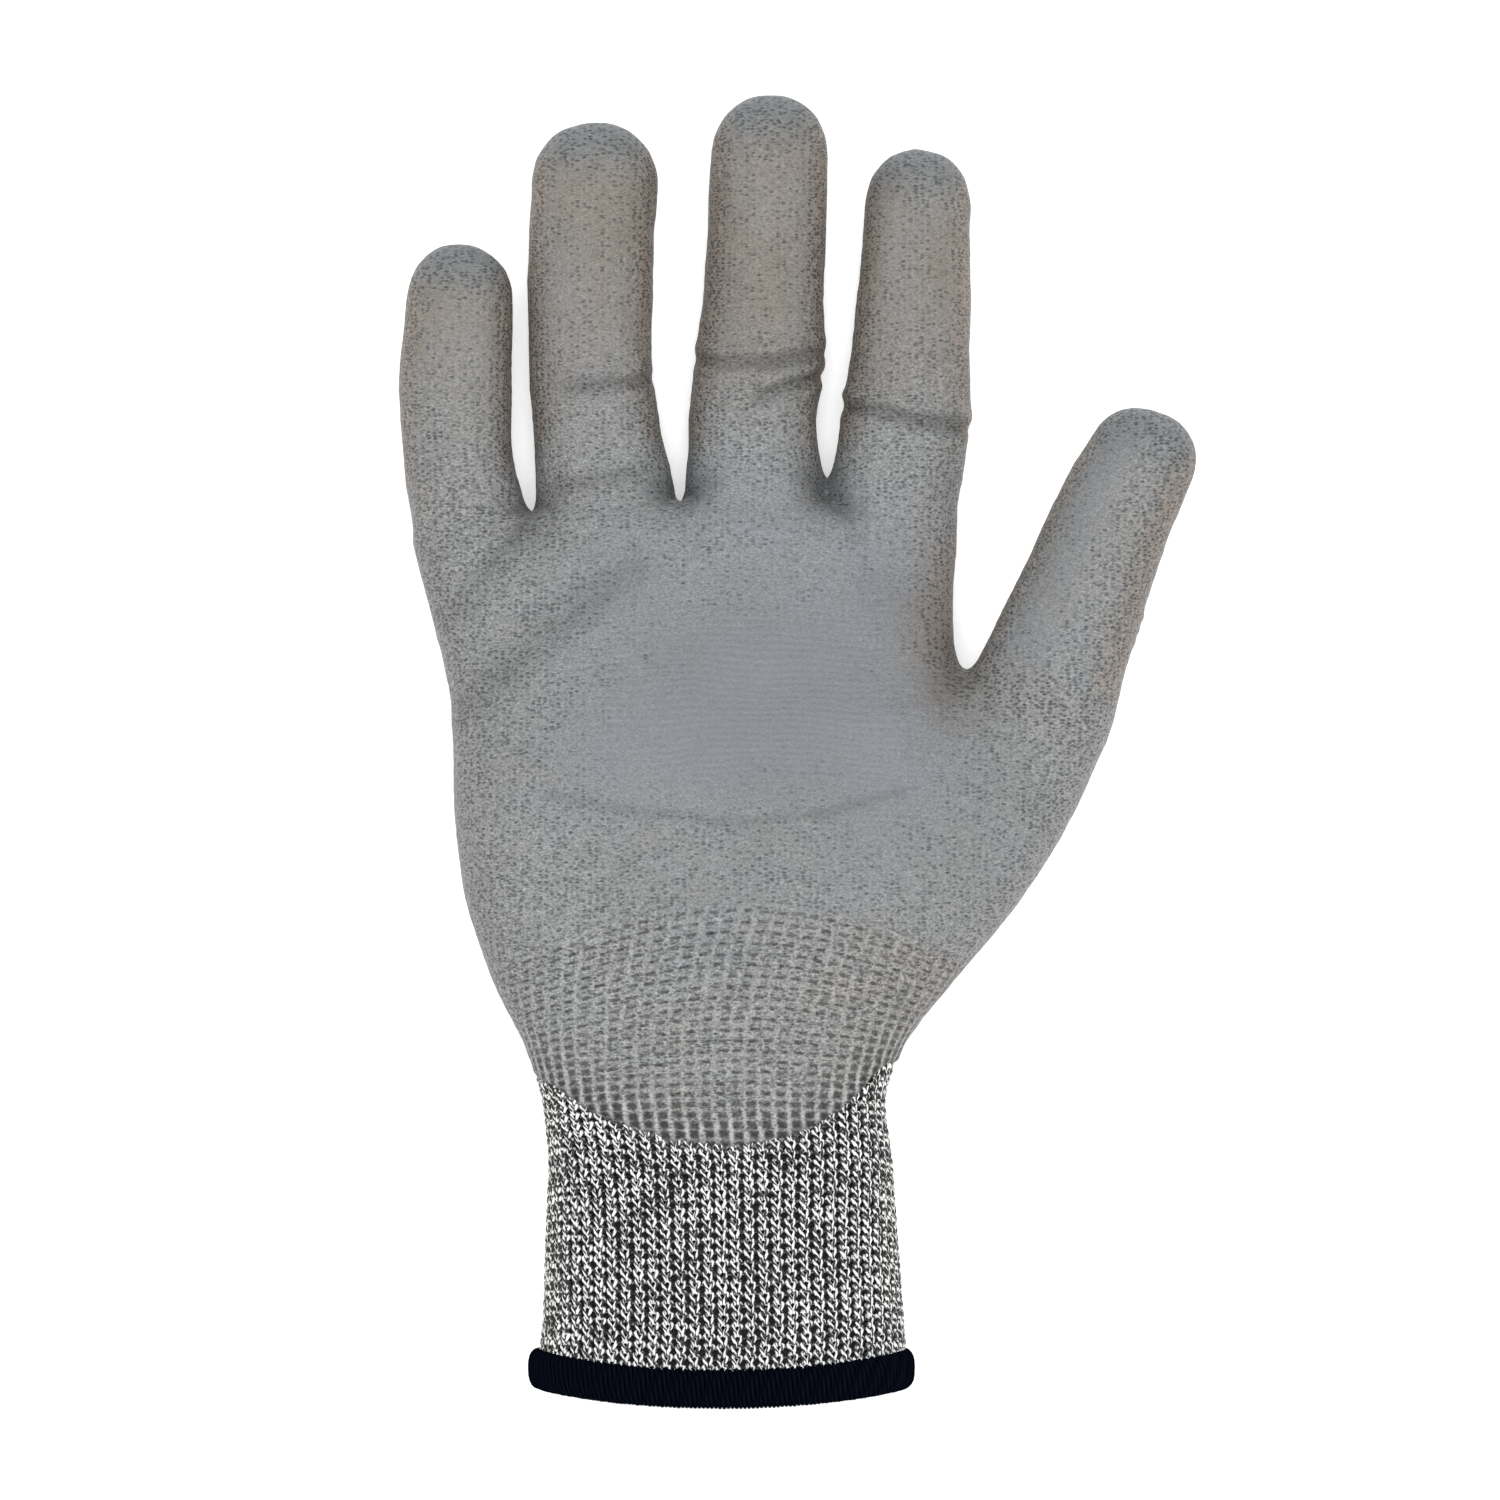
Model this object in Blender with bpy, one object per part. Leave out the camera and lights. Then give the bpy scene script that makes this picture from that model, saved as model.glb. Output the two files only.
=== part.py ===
"""Cut resistant glove: a seamless knit liner with a dipped palm coating, a rib cuff and a hem.

It lies on its back, fingers towards +Y, coated palm towards +Z, thumb towards +X.
Lengths are millimetres until a mesh is made, and metres in the scene.
"""

import math

import bmesh
import bpy
from mathutils import Vector

MM = 0.001

KNIT_WALL = 1.0
COAT_GAP = 0.3
COAT_WALL = 0.4
COAT_OUT = COAT_GAP + COAT_WALL
HINGE_GAP = 0.5
FOLD_CLEARANCE = 0.9
SPARE_BEND = 9.0
SIDES = 16
WALL_ROWS = 4
TIP_ROWS = 2
SQUARENESS = 0.92
COAT_FIRST_SIDE = -1
COAT_LAST_SIDE = 9
NOSE_SHARE = {3: 0.45, 4: 0.9, 5: 0.45}
NOSE_TAPER = 0.3
NOSE_TURN = math.radians(62)
DOME_TURNS = (0.0, 32.0, 58.0, 78.0)

# Digit sections: distance along the digit, side offset, half width, height, half thickness.
FINGERS = {
    "little": {
        "base_y": 46.5,
        "joints": (0.0, 12.0, 29.0),
        "depths": (5.2, 6.4, 6.8),
        "bends": (60, 78, 40),
        "tip": 49.1,
        "dome": 9.2,
        "sections": (
            (-7.0, -62.0, 8.0, 12.2, 8.6),
            (0.0, -63.2, 10.1, 11.9, 9.6),
            (11.4, -64.8, 9.8, 11.6, 9.2),
            (25.7, -65.1, 10.1, 11.8, 9.0),
            (40.0, -64.2, 9.5, 12.4, 8.6),
        ),
    },
    "ring": {
        "base_y": 51.5,
        "joints": (0.0, 19.5, 42.5),
        "depths": (5.4, 7.2, 6.6),
        "bends": (60, 78, 50),
        "tip": 67.6,
        "dome": 11.0,
        "sections": (
            (-7.0, -36.8, 10.6, 13.0, 9.8),
            (0.0, -37.0, 11.6, 12.8, 10.8),
            (19.5, -39.2, 11.0, 12.4, 10.4),
            (35.0, -39.4, 11.2, 12.4, 10.0),
            (56.0, -38.5, 11.4, 13.2, 9.4),
        ),
    },
    "middle": {
        "base_y": 52.0,
        "joints": (0.0, 21.0, 46.0),
        "depths": (5.4, 7.4, 6.8),
        "bends": (60, 78, 50),
        "tip": 72.3,
        "dome": 10.6,
        "sections": (
            (-7.0, -7.9, 10.6, 13.2, 10.0),
            (0.0, -8.2, 11.6, 13.0, 11.0),
            (10.7, -8.3, 11.4, 12.8, 10.8),
            (21.0, -7.2, 11.6, 12.6, 10.6),
            (34.5, -6.0, 10.8, 12.6, 10.2),
            (62.0, -5.0, 10.4, 13.4, 9.4),
        ),
    },
    "index": {
        "base_y": 51.5,
        "joints": (0.0, 14.0, 38.5),
        "depths": (5.2, 7.0, 6.6),
        "bends": (60, 78, 50),
        "tip": 62.4,
        "dome": 10.0,
        "sections": (
            (-7.0, 18.4, 9.8, 13.0, 9.8),
            (0.0, 19.7, 11.5, 12.8, 10.8),
            (11.0, 21.0, 11.5, 12.6, 10.6),
            (25.0, 22.0, 10.5, 12.6, 10.2),
            (52.0, 23.2, 9.4, 13.2, 9.2),
        ),
    },
}
THUMB = {
    "origin": (46.1, 10.9, 0.0),
    "along": (0.379, 0.925),
    "roll": math.radians(15),
    "joints": (0.0, 28.0),
    "depths": (7.0, 7.4),
    "bends": (40, 60),
    "tip": 57.3,
    "dome": 8.0,
    "sections": (
        (-10.0, 0.2, 11.6, 19.6, 10.4),
        (0.0, 0.7, 13.4, 20.2, 12.0),
        (9.9, 0.6, 12.7, 20.6, 11.4),
        (28.0, 0.6, 11.2, 21.4, 10.4),
        (38.0, 1.0, 10.3, 22.0, 9.6),
        (49.4, 2.3, 9.8, 22.4, 8.8),
    ),
}
SEGMENTS = ("proximal", "middle", "tip")
THUMB_SEGMENTS = ("proximal", "tip")

# Palm sections: y, left edge, right edge, bottom, top.
PALM_SIDES = 24
PALM_SECTIONS = (
    (-77.75, -45.9, 17.5, 1.2, 43.8),
    (-66.0, -47.7, 15.7, 0.6, 43.0),
    (-55.0, -51.3, 19.9, -0.8, 41.2),
    (-44.0, -57.0, 29.0, -1.6, 39.6),
    (-29.0, -62.2, 41.6, -1.6, 38.0),
    (-14.0, -64.2, 51.6, -1.6, 36.4),
    (0.0, -64.6, 57.4, -1.6, 34.8),
    (6.5, -64.9, 44.5, -1.6, 33.8),
    (13.0, -65.6, 30.0, -1.6, 32.4),
    (27.0, -69.1, 29.0, -1.6, 29.6),
    (39.0, -72.3, 30.0, -1.2, 27.2),
    (45.5, -73.2, 30.6, 0.4, 25.6),
    (48.6, -71.0, 29.0, 4.5, 21.0),
)
PALM_SQUARENESS = 0.72
WEB_CENTRE_X = -8.0
WEB_DROP_LEFT = 5.2
WEB_DROP_RIGHT = 1.6
WEB_START_Y = 34.0
WRIST_REACH = 3.0
CORE_DEEPER = 1.1
CORE_REACH = 6.0
COAT_BACK_EDGE = 9.7
FAR = 120.0
COAT_LOWER_EDGE = (
    (-FAR, -58.0),
    (-49.7, -62.1),
    (-37.3, -69.7),
    (-24.0, -74.2),
    (-12.5, -75.6),
    (0.0, -73.2),
    (8.4, -68.8),
    (17.0, -60.2),
    (FAR, -50.0),
)

# Cuff: measured from the wrist hinge towards the hand opening.
WRIST_Y = -78.0
WRIST_DEPTH = 20.6
WRIST_HEIGHT = 22.5
WRIST_BENDS = (-20, 25)
WRIST_SAG_HALF = 36.8
CUFF_SIDES = 24
CUFF_END = 40.4
CUFF_SAG = 4.4
CUFF_SECTIONS = (
    (0.0, 14.1, 32.2, 22.5, 21.0),
    (12.0, 14.2, 33.0, 22.8, 21.4),
    (27.0, 13.8, 33.4, 23.4, 21.8),
    (32.0, 13.6, 33.9, 23.8, 22.1),
    (48.0, 14.2, 35.4, 24.7, 22.9),
)
HEM_PROFILE = (
    (0.3, -6.6),
    (1.3, -6.8),
    (1.7, -3.4),
    (1.3, -0.6),
    (-0.5, 0.0),
    (-2.3, -0.6),
    (-2.7, -3.4),
    (-2.3, -6.6),
    (-1.3, -6.4),
    (-1.3, -1.6),
    (0.3, -1.6),
)
HEM_BELOW_CUFF = 2.2
HEM_COVERS = 7.2
ELASTIC_TURNS = 4
ELASTIC_STEPS = 20
ELASTIC_START = 14.0
ELASTIC_PITCH = 4.5
ELASTIC_RADIUS = 0.32
ELASTIC_OFFSET = -1.9

COAT_GREY = (0.27, 0.28, 0.29)
KNIT_GREY = (0.16, 0.16, 0.155)
HEM_NAVY = (0.004, 0.005, 0.010)
ELASTIC_WHITE = (0.62, 0.61, 0.58)


def signed_power(value, power):
    return math.copysign(abs(value) ** power, value)


def blend(a, b, share):
    return tuple(p + (q - p) * share for p, q in zip(a, b))


class Limb:
    """A tube along a straight line, with its section given at stations."""

    def __init__(self, origin, along, up, sections, squareness=SQUARENESS):
        self.origin = Vector(origin)
        self.along = Vector(along).normalized()
        self.up = Vector(up).normalized()
        self.side = self.along.cross(self.up)
        self.sections = sections
        self.squareness = squareness

    def section(self, s):
        before = self.sections[0]
        for after in self.sections[1:]:
            if s <= after[0]:
                break
            before = after
        else:
            return self.sections[-1][1:]
        share = max(0.0, (s - before[0]) / (after[0] - before[0]))
        return blend(before[1:], after[1:], share)

    def across(self, s, turn, offset, scale=1.0):
        """Side offset and height of the wall at this station."""
        centre, half_width, height, half_thick = self.section(s)
        side = signed_power(math.cos(turn), self.squareness) * (half_width + offset) * scale
        rise = signed_power(math.sin(turn), self.squareness) * (half_thick + offset) * scale
        return centre + side, height + rise

    def place(self, s, side, height):
        return self.origin + self.along * s + self.side * side + self.up * height


def rolled(along, roll):
    """The upward direction across a limb, leaned towards its left by the roll angle."""
    flat = Vector((along[0], along[1], 0.0)).normalized()
    left = Vector((-flat.y, flat.x, 0.0))
    return Vector((0.0, 0.0, math.cos(roll))) + left * math.sin(roll)


def finger_limb(spec):
    return Limb((0.0, spec["base_y"], 0.0), (0, 1, 0), (0, 0, 1), spec["sections"])


def thumb_limb():
    """The thumb's heights are measured up its leaning direction, about its own centre line."""
    up = rolled(THUMB["along"], THUMB["roll"])
    first = THUMB["sections"][0]
    base = Vector(THUMB["origin"]) + Vector((0, 0, first[3])) - up * first[3]
    return Limb(base, (*THUMB["along"], 0.0), up, THUMB["sections"])


def hinge_height(limb, station, depth):
    height, half_thick = limb.section(station)[2:]
    return height + half_thick - depth


def clearance_radius(depth):
    return depth + COAT_OUT + FOLD_CLEARANCE


def notch(above, depth, bend):
    """How far a segment is cut back at this height above its hinge, so that it can fold."""
    if above <= 0:
        return 0.0
    radius = clearance_radius(depth)
    top = (radius - above * math.cos(bend)) / math.sin(bend)
    return max(0.0, min(above * math.tan(bend), top))


def start_station(limb, turn, offset, joint):
    """Where a wall line starts: on a plane, or cut back behind a hinge."""
    station, depth, bend = joint
    if depth is None:
        return station
    height = limb.across(station, turn, offset)[1]
    above = height - hinge_height(limb, station, depth)
    return station + HINGE_GAP + notch(above, depth, bend)


def nose_line(limb, turn, share, offset, start, joint, rows):
    """A wall line that runs to a hinge, then bends down round the hinge's axis."""
    station, depth = joint[:2]
    first = start_station(limb, turn, offset, start)
    side, top = limb.across(station, turn, offset)
    centre = limb.section(station)[0]
    axis = hinge_height(limb, station, depth)
    radius = top - axis
    sweep = NOSE_TURN * share if radius > 0 else 0.0
    straight = station - first
    whole = straight + radius * sweep
    points = []
    for row in range(rows + 1):
        at = whole * row / rows
        if at <= straight + 1e-6:
            s = first + at
            points.append(limb.place(s, *limb.across(s, turn, offset)))
            continue
        angle = (at - straight) / radius
        s = station + radius * math.sin(angle)
        inward = (centre - side) * NOSE_TAPER * angle / NOSE_TURN
        points.append(limb.place(s, side + inward, axis + radius * math.cos(angle)))
    return points


def dome_line(limb, turn, offset, start, tip, dome, rows):
    """A wall line that runs to the fingertip's round end. The tip point itself is added apart."""
    first = start_station(limb, turn, offset, start)
    straight = tip - dome
    points = []
    for row in range(rows):
        s = first + (straight - first) * row / rows
        points.append(limb.place(s, *limb.across(s, turn, offset)))
    for degrees in DOME_TURNS:
        angle = math.radians(degrees)
        side, height = limb.across(straight, turn, offset, math.cos(angle))
        points.append(limb.place(straight + (dome + offset) * math.sin(angle), side, height))
    return points


def tip_point(limb, offset, tip, dome):
    section = limb.section(tip - dome)
    return limb.place(tip + offset, section[0], section[2])


def side_turns(first=0, last=SIDES - 1):
    return [math.tau * index / SIDES for index in range(first, last + 1)]


def nose_share(index):
    return NOSE_SHARE.get(index % SIDES, 0.0)


def shell_mesh(outer, inner, round_closed, apexes=None):
    """A closed body between two sheets of wall lines."""
    bm = bmesh.new()
    sheets = []
    for lines in (outer, inner):
        sheets.append([[bm.verts.new(point * MM) for point in line] for line in lines])
    tips = [bm.verts.new(point * MM) for point in apexes] if apexes else []
    count = len(outer)
    pairs = [(i, (i + 1) % count) for i in range(count if round_closed else count - 1)]
    rows = len(outer[0]) - 1
    for number, sheet in enumerate(sheets):
        for i, j in pairs:
            for row in range(rows):
                bm.faces.new((sheet[i][row], sheet[j][row], sheet[j][row + 1], sheet[i][row + 1]))
            if tips:
                bm.faces.new((sheet[i][rows], sheet[j][rows], tips[number]))
    near, far = sheets
    for i, j in pairs:
        bm.faces.new((near[i][0], far[i][0], far[j][0], near[j][0]))
        if not tips:
            bm.faces.new((near[i][rows], far[i][rows], far[j][rows], near[j][rows]))
    if not round_closed:
        for i in (0, count - 1):
            for row in range(rows):
                bm.faces.new((near[i][row], near[i][row + 1], far[i][row + 1], far[i][row]))
            if tips:
                bm.faces.new((near[i][rows], tips[0], tips[1], far[i][rows]))
    bmesh.ops.recalc_face_normals(bm, faces=bm.faces)
    return bm


def solid_mesh(lines, start_centre, end_centre):
    """A closed plug inside a ring of wall lines."""
    bm = bmesh.new()
    sheet = [[bm.verts.new(point * MM) for point in line] for line in lines]
    ends = (bm.verts.new(start_centre * MM), bm.verts.new(end_centre * MM))
    rows = len(lines[0]) - 1
    for i in range(len(lines)):
        j = (i + 1) % len(lines)
        for row in range(rows):
            bm.faces.new((sheet[i][row], sheet[j][row], sheet[j][row + 1], sheet[i][row + 1]))
        bm.faces.new((sheet[i][0], sheet[j][0], ends[0]))
        bm.faces.new((sheet[i][rows], sheet[j][rows], ends[1]))
    bmesh.ops.triangulate(bm, faces=bm.faces, quad_method="FIXED")
    bmesh.ops.recalc_face_normals(bm, faces=bm.faces)
    return bm


def make_collection(name):
    collection = bpy.data.collections.new(name)
    bpy.context.scene.collection.children.link(collection)
    return collection


def make_material(name, colour, roughness):
    material = bpy.data.materials.new(name)
    material.use_nodes = True
    shader = material.node_tree.nodes["Principled BSDF"]
    shader.inputs["Base Color"].default_value = (*colour, 1.0)
    shader.inputs["Roughness"].default_value = roughness
    shader.inputs["Metallic"].default_value = 0.0
    material.diffuse_color = (*colour, 1.0)
    return material


def make_object(bm, name, collection, pivot=None, material=None):
    """An object whose origin is on its joint's axis."""
    pivot = Vector(pivot or (0, 0, 0)) * MM
    bmesh.ops.translate(bm, verts=bm.verts, vec=-pivot)
    mesh = bpy.data.meshes.new(name)
    bm.to_mesh(mesh)
    bm.free()
    obj = bpy.data.objects.new(name, mesh)
    obj.location = pivot
    collection.objects.link(obj)
    if material:
        mesh.materials.append(material)
        mesh.polygons.foreach_set("use_smooth", [True] * len(mesh.polygons))
        mesh.set_sharp_from_angle(angle=math.radians(50))
    else:
        obj.hide_render = True
        obj.display_type = "WIRE"
    return obj


def cut(obj, operation, other):
    modifier = obj.modifiers.new(f"{operation.lower()} {other.name}", "BOOLEAN")
    modifier.operation = operation
    modifier.solver = "EXACT"
    modifier.object = other


def hinge_point(limb, station, depth):
    centre = limb.section(station)[0]
    return limb.place(station, centre, hinge_height(limb, station, depth))


def segment_lines(limb, offset, turns, first, start, end, tip):
    """Wall lines of one stall segment, to its next hinge or to its round tip."""
    if end:
        return [
            nose_line(limb, turn, nose_share(first + i), offset, start, end, WALL_ROWS)
            for i, turn in enumerate(turns)
        ]
    return [dome_line(limb, turn, offset, start, *tip, TIP_ROWS) for turn in turns]


def make_segment(name, limb, start, end, tip, pivot, looks):
    """One stall segment: the knit tube and the coating skin on its gripping side."""
    made = []
    for layer, sides, offsets in (
        ("knit", (0, SIDES - 1), (0.0, -KNIT_WALL)),
        ("coating", (COAT_FIRST_SIDE, COAT_LAST_SIDE), (COAT_OUT, COAT_GAP)),
    ):
        turns = side_turns(*sides)
        sheets = [
            segment_lines(limb, offset, turns, sides[0], start, end, tip) for offset in offsets
        ]
        apexes = None
        if not end:
            apexes = [tip_point(limb, offset, *tip) for offset in offsets]
        bm = shell_mesh(*sheets, layer == "knit", apexes)
        collection, materials = looks
        made.append(make_object(bm, f"{name}_{layer}", collection, pivot, materials[layer]))
    return made


def make_digit(name, limb, spec, segment_names, palm, looks):
    """A chain of stall segments, each hung from the one before it."""
    joints = [
        (station, depth, math.radians(bend + SPARE_BEND))
        for station, depth, bend in zip(spec["joints"], spec["depths"], spec["bends"])
    ]
    tip = (spec["tip"], spec["dome"])
    holder = palm
    pivots = []
    for number, segment in enumerate(segment_names):
        start = joints[number]
        end = joints[number + 1] if number + 1 < len(joints) else None
        pivot = hinge_point(limb, start[0], start[1])
        knit, coating = make_segment(f"{name}_{segment}", limb, start, end, tip, pivot, looks)
        coating.location = (0, 0, 0)
        coating.parent = knit
        knit.parent = holder
        if pivots:
            knit.location = (pivot - pivots[-1]) * MM
        pivots.append(pivot)
        holder = knit


def stub_solid(limb, spec, offset, base, reach):
    """The root of a stall as a plug. A reach above 0 runs it past the end of the real root."""
    station, depth = spec["joints"][0], spec["depths"][0]
    lines = []
    for index, turn in enumerate(side_turns()):
        start = (base, None, None)
        line = nose_line(limb, turn, nose_share(index), offset, start, (station, depth, 0), WALL_ROWS)
        if reach:
            line.append(line[-1] + limb.along * reach)
        lines.append(line)
    root = limb.section(base)
    end = limb.place(station + reach, limb.section(station)[0], hinge_height(limb, station, depth))
    return solid_mesh(lines, limb.place(base, root[0], root[2]), end)


def web_drop(x, y):
    """The web between the fingers is lower at the little finger than at the middle one."""
    share = min(1.0, max(0.0, (y - WEB_START_Y) / (PALM_SECTIONS[-1][0] - WEB_START_Y)))
    if x < WEB_CENTRE_X:
        return -share * WEB_DROP_LEFT * ((x - WEB_CENTRE_X) / 56.0) ** 2
    return -share * WEB_DROP_RIGHT * ((x - WEB_CENTRE_X) / 38.0) ** 2


def palm_solid(offset, wrist_reach=0.0):
    """The hand's body as a plug, grown or shrunk along its normals."""
    bm = bmesh.new()
    rings = []
    for y, left, right, bottom, top in PALM_SECTIONS:
        ring = []
        for index in range(PALM_SIDES):
            turn = math.tau * index / PALM_SIDES
            side = signed_power(math.cos(turn), PALM_SQUARENESS)
            rise = signed_power(math.sin(turn), PALM_SQUARENESS)
            x = (left + right) / 2 + side * (right - left) / 2
            z = (bottom + top) / 2 + rise * (top - bottom) / 2
            ring.append(bm.verts.new((x, y + web_drop(x, y), max(z, 0.0))))
        rings.append(ring)
    for near, far in zip(rings, rings[1:]):
        for i in range(PALM_SIDES):
            j = (i + 1) % PALM_SIDES
            bm.faces.new((near[i], near[j], far[j], far[i]))
    for ring in (rings[0], rings[-1]):
        for i in range(PALM_SIDES // 2):
            corners = (ring[i], ring[i + 1], ring[-i - 1], ring[-i % PALM_SIDES])
            bm.faces.new(dict.fromkeys(corners))
    bmesh.ops.triangulate(bm, faces=bm.faces, quad_method="FIXED")
    bmesh.ops.recalc_face_normals(bm, faces=bm.faces)
    bm.normal_update()
    moves = [(vert, vert.normal * offset) for vert in bm.verts]
    for vert, move in moves:
        vert.co += move
        if offset < 0:
            vert.co.z = max(vert.co.z, -offset)
        else:
            vert.co.z = max(vert.co.z, 0.0)
    for vert in rings[0]:
        vert.co.y = PALM_SECTIONS[0][0] - wrist_reach
    bmesh.ops.scale(bm, verts=bm.verts, vec=(MM, MM, MM))
    return bm


def prism(outline, bottom, top):
    """A straight block on a flat outline."""
    bm = bmesh.new()
    levels = []
    for z in (bottom, top):
        levels.append([bm.verts.new((x * MM, y * MM, z * MM)) for x, y in outline])
    for i in range(len(outline)):
        j = (i + 1) % len(outline)
        bm.faces.new((levels[0][i], levels[0][j], levels[1][j], levels[1][i]))
    bm.faces.new(levels[0])
    bm.faces.new(levels[1])
    bmesh.ops.recalc_face_normals(bm, faces=bm.faces)
    return bm


def cuff_sag(side):
    """The hand opening's edge hangs lower in the middle than at its two sides."""
    across = (side - CUFF_SECTIONS[-1][1]) / WRIST_SAG_HALF
    return CUFF_SAG * max(0.0, 1.0 - across * across)


def cuff_turns():
    return [math.tau * index / CUFF_SIDES for index in range(CUFF_SIDES)]


def cuff_start(limb, turn, offset):
    """The cuff's top edge, cut back on both sides of the wrist's axis."""
    height = limb.across(0.0, turn, offset)[1]
    above = height - WRIST_HEIGHT
    bend = math.radians(WRIST_BENDS[1] if above > 0 else -WRIST_BENDS[0])
    return HINGE_GAP + notch(abs(above), WRIST_DEPTH, bend)


def cuff_line(limb, turn, offset, rows):
    first = cuff_start(limb, turn, offset)
    last = CUFF_END + cuff_sag(limb.across(CUFF_END, turn, 0.0)[0])
    hem_edge = last - HEM_COVERS
    stations = [first + (hem_edge - first) * row / rows for row in range(rows + 1)]
    return [limb.place(s, *limb.across(s, turn, offset)) for s in (*stations, last)]


def hem_mesh(limb):
    """A closed ring with a groove that takes the cuff's edge."""
    bm = bmesh.new()
    rings = []
    for turn in cuff_turns():
        end = CUFF_END + cuff_sag(limb.across(CUFF_END, turn, 0.0)[0]) + HEM_BELOW_CUFF
        ring = []
        for offset, rise in HEM_PROFILE:
            s = end + rise
            ring.append(bm.verts.new(limb.place(s, *limb.across(s, turn, offset)) * MM))
        rings.append(ring)
    count = len(HEM_PROFILE)
    for number in range(len(rings)):
        near, far = rings[number], rings[(number + 1) % len(rings)]
        for i in range(count):
            j = (i + 1) % count
            bm.faces.new((near[i], near[j], far[j], far[i]))
    bmesh.ops.recalc_face_normals(bm, faces=bm.faces)
    return bm


def elastic_curve(limb, collection, pivot, material):
    """The elastic yarn, wound as one thread inside the cuff's wall."""
    curve = bpy.data.curves.new("cuff_elastic", "CURVE")
    curve.dimensions = "3D"
    curve.bevel_depth = ELASTIC_RADIUS * MM
    curve.bevel_resolution = 0
    curve.use_fill_caps = True
    spline = curve.splines.new("POLY")
    steps = ELASTIC_TURNS * ELASTIC_STEPS
    spline.points.add(steps)
    for step in range(steps + 1):
        turns = step / ELASTIC_STEPS
        s = ELASTIC_START + ELASTIC_PITCH * turns
        spot = limb.place(s, *limb.across(s, math.tau * turns, ELASTIC_OFFSET))
        spline.points[step].co = (*((spot - pivot) * MM), 1.0)
    curve.materials.append(material)
    obj = bpy.data.objects.new("cuff_elastic", curve)
    obj.location = pivot * MM
    collection.objects.link(obj)
    return obj


def make_layer(name, digits, offsets, trims, material, looks):
    """The palm and the roots of its stalls as one skin between two offsets."""
    part, cutters = looks
    skin = make_object(palm_solid(offsets[0]), name, part, None, material)
    for digit, (limb, spec) in digits.items():
        base = limb.sections[0][0]
        bm = stub_solid(limb, spec, offsets[0], base, 0.0)
        cut(skin, "UNION", make_object(bm, f"{name}_{digit}_root", cutters))
    for trim in trims:
        cut(skin, "DIFFERENCE", trim)
    hollow = make_object(palm_solid(offsets[1], WRIST_REACH), f"{name}_hollow", cutters)
    cut(skin, "DIFFERENCE", hollow)
    for digit, (limb, spec) in digits.items():
        base = limb.sections[0][0] - CORE_DEEPER
        bm = stub_solid(limb, spec, offsets[1], base, CORE_REACH)
        cut(skin, "DIFFERENCE", make_object(bm, f"{name}_{digit}_core", cutters))
    return skin


def build():
    for obj in list(bpy.data.objects):
        bpy.data.objects.remove(obj)
    part = make_collection("cut_resistant_glove")
    cutters = make_collection("cutters")
    materials = {
        "knit": make_material("yarn_knit", KNIT_GREY, 0.9),
        "coating": make_material("coating_film", COAT_GREY, 0.62),
        "hem": make_material("hem_thread", HEM_NAVY, 0.8),
        "elastic": make_material("elastic_yarn", ELASTIC_WHITE, 0.7),
    }
    looks = (part, materials)
    digits = {name: (finger_limb(spec), spec) for name, spec in FINGERS.items()}
    digits["thumb"] = (thumb_limb(), THUMB)
    homes = (part, cutters)

    palm = make_layer("palm_knit", digits, (0.0, -KNIT_WALL), (), materials["knit"], homes)
    back = [(-FAR, -FAR), (FAR, -FAR), (FAR, FAR), (-FAR, FAR)]
    wrist = [*COAT_LOWER_EDGE, (FAR, -FAR), (-FAR, -FAR)]
    trims = (
        make_object(prism(back, -9.0, COAT_BACK_EDGE), "coat_back", cutters),
        make_object(prism(wrist, -12.0, 70.0), "coat_wrist", cutters),
    )
    film = materials["coating"]
    coat = make_layer("palm_coating", digits, (COAT_OUT, COAT_GAP), trims, film, homes)
    coat.parent = palm

    for name, (limb, spec) in digits.items():
        segments = THUMB_SEGMENTS if name == "thumb" else SEGMENTS
        make_digit(name, limb, spec, segments, palm, looks)

    cuff = Limb((0, WRIST_Y, 0), (0, -1, 0), (0, 0, 1), CUFF_SECTIONS, PALM_SQUARENESS)
    pivot = Vector((-CUFF_SECTIONS[0][1], WRIST_Y, WRIST_HEIGHT))
    sheets = [
        [cuff_line(cuff, turn, offset, 3) for turn in cuff_turns()] for offset in (0.0, -KNIT_WALL)
    ]
    tube = make_object(shell_mesh(*sheets, True), "cuff_knit", part, pivot, materials["knit"])
    hem = make_object(hem_mesh(cuff), "cuff_hem", part, pivot, materials["hem"])
    elastic = elastic_curve(cuff, part, pivot, materials["elastic"])
    tube.parent = palm
    for obj in (hem, elastic):
        obj.parent = tube
        obj.location = (0, 0, 0)


build()
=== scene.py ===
"""Looks for the cut resistant glove: a coated knit skin, a knitted cuff and an overlocked hem."""

import math

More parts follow.
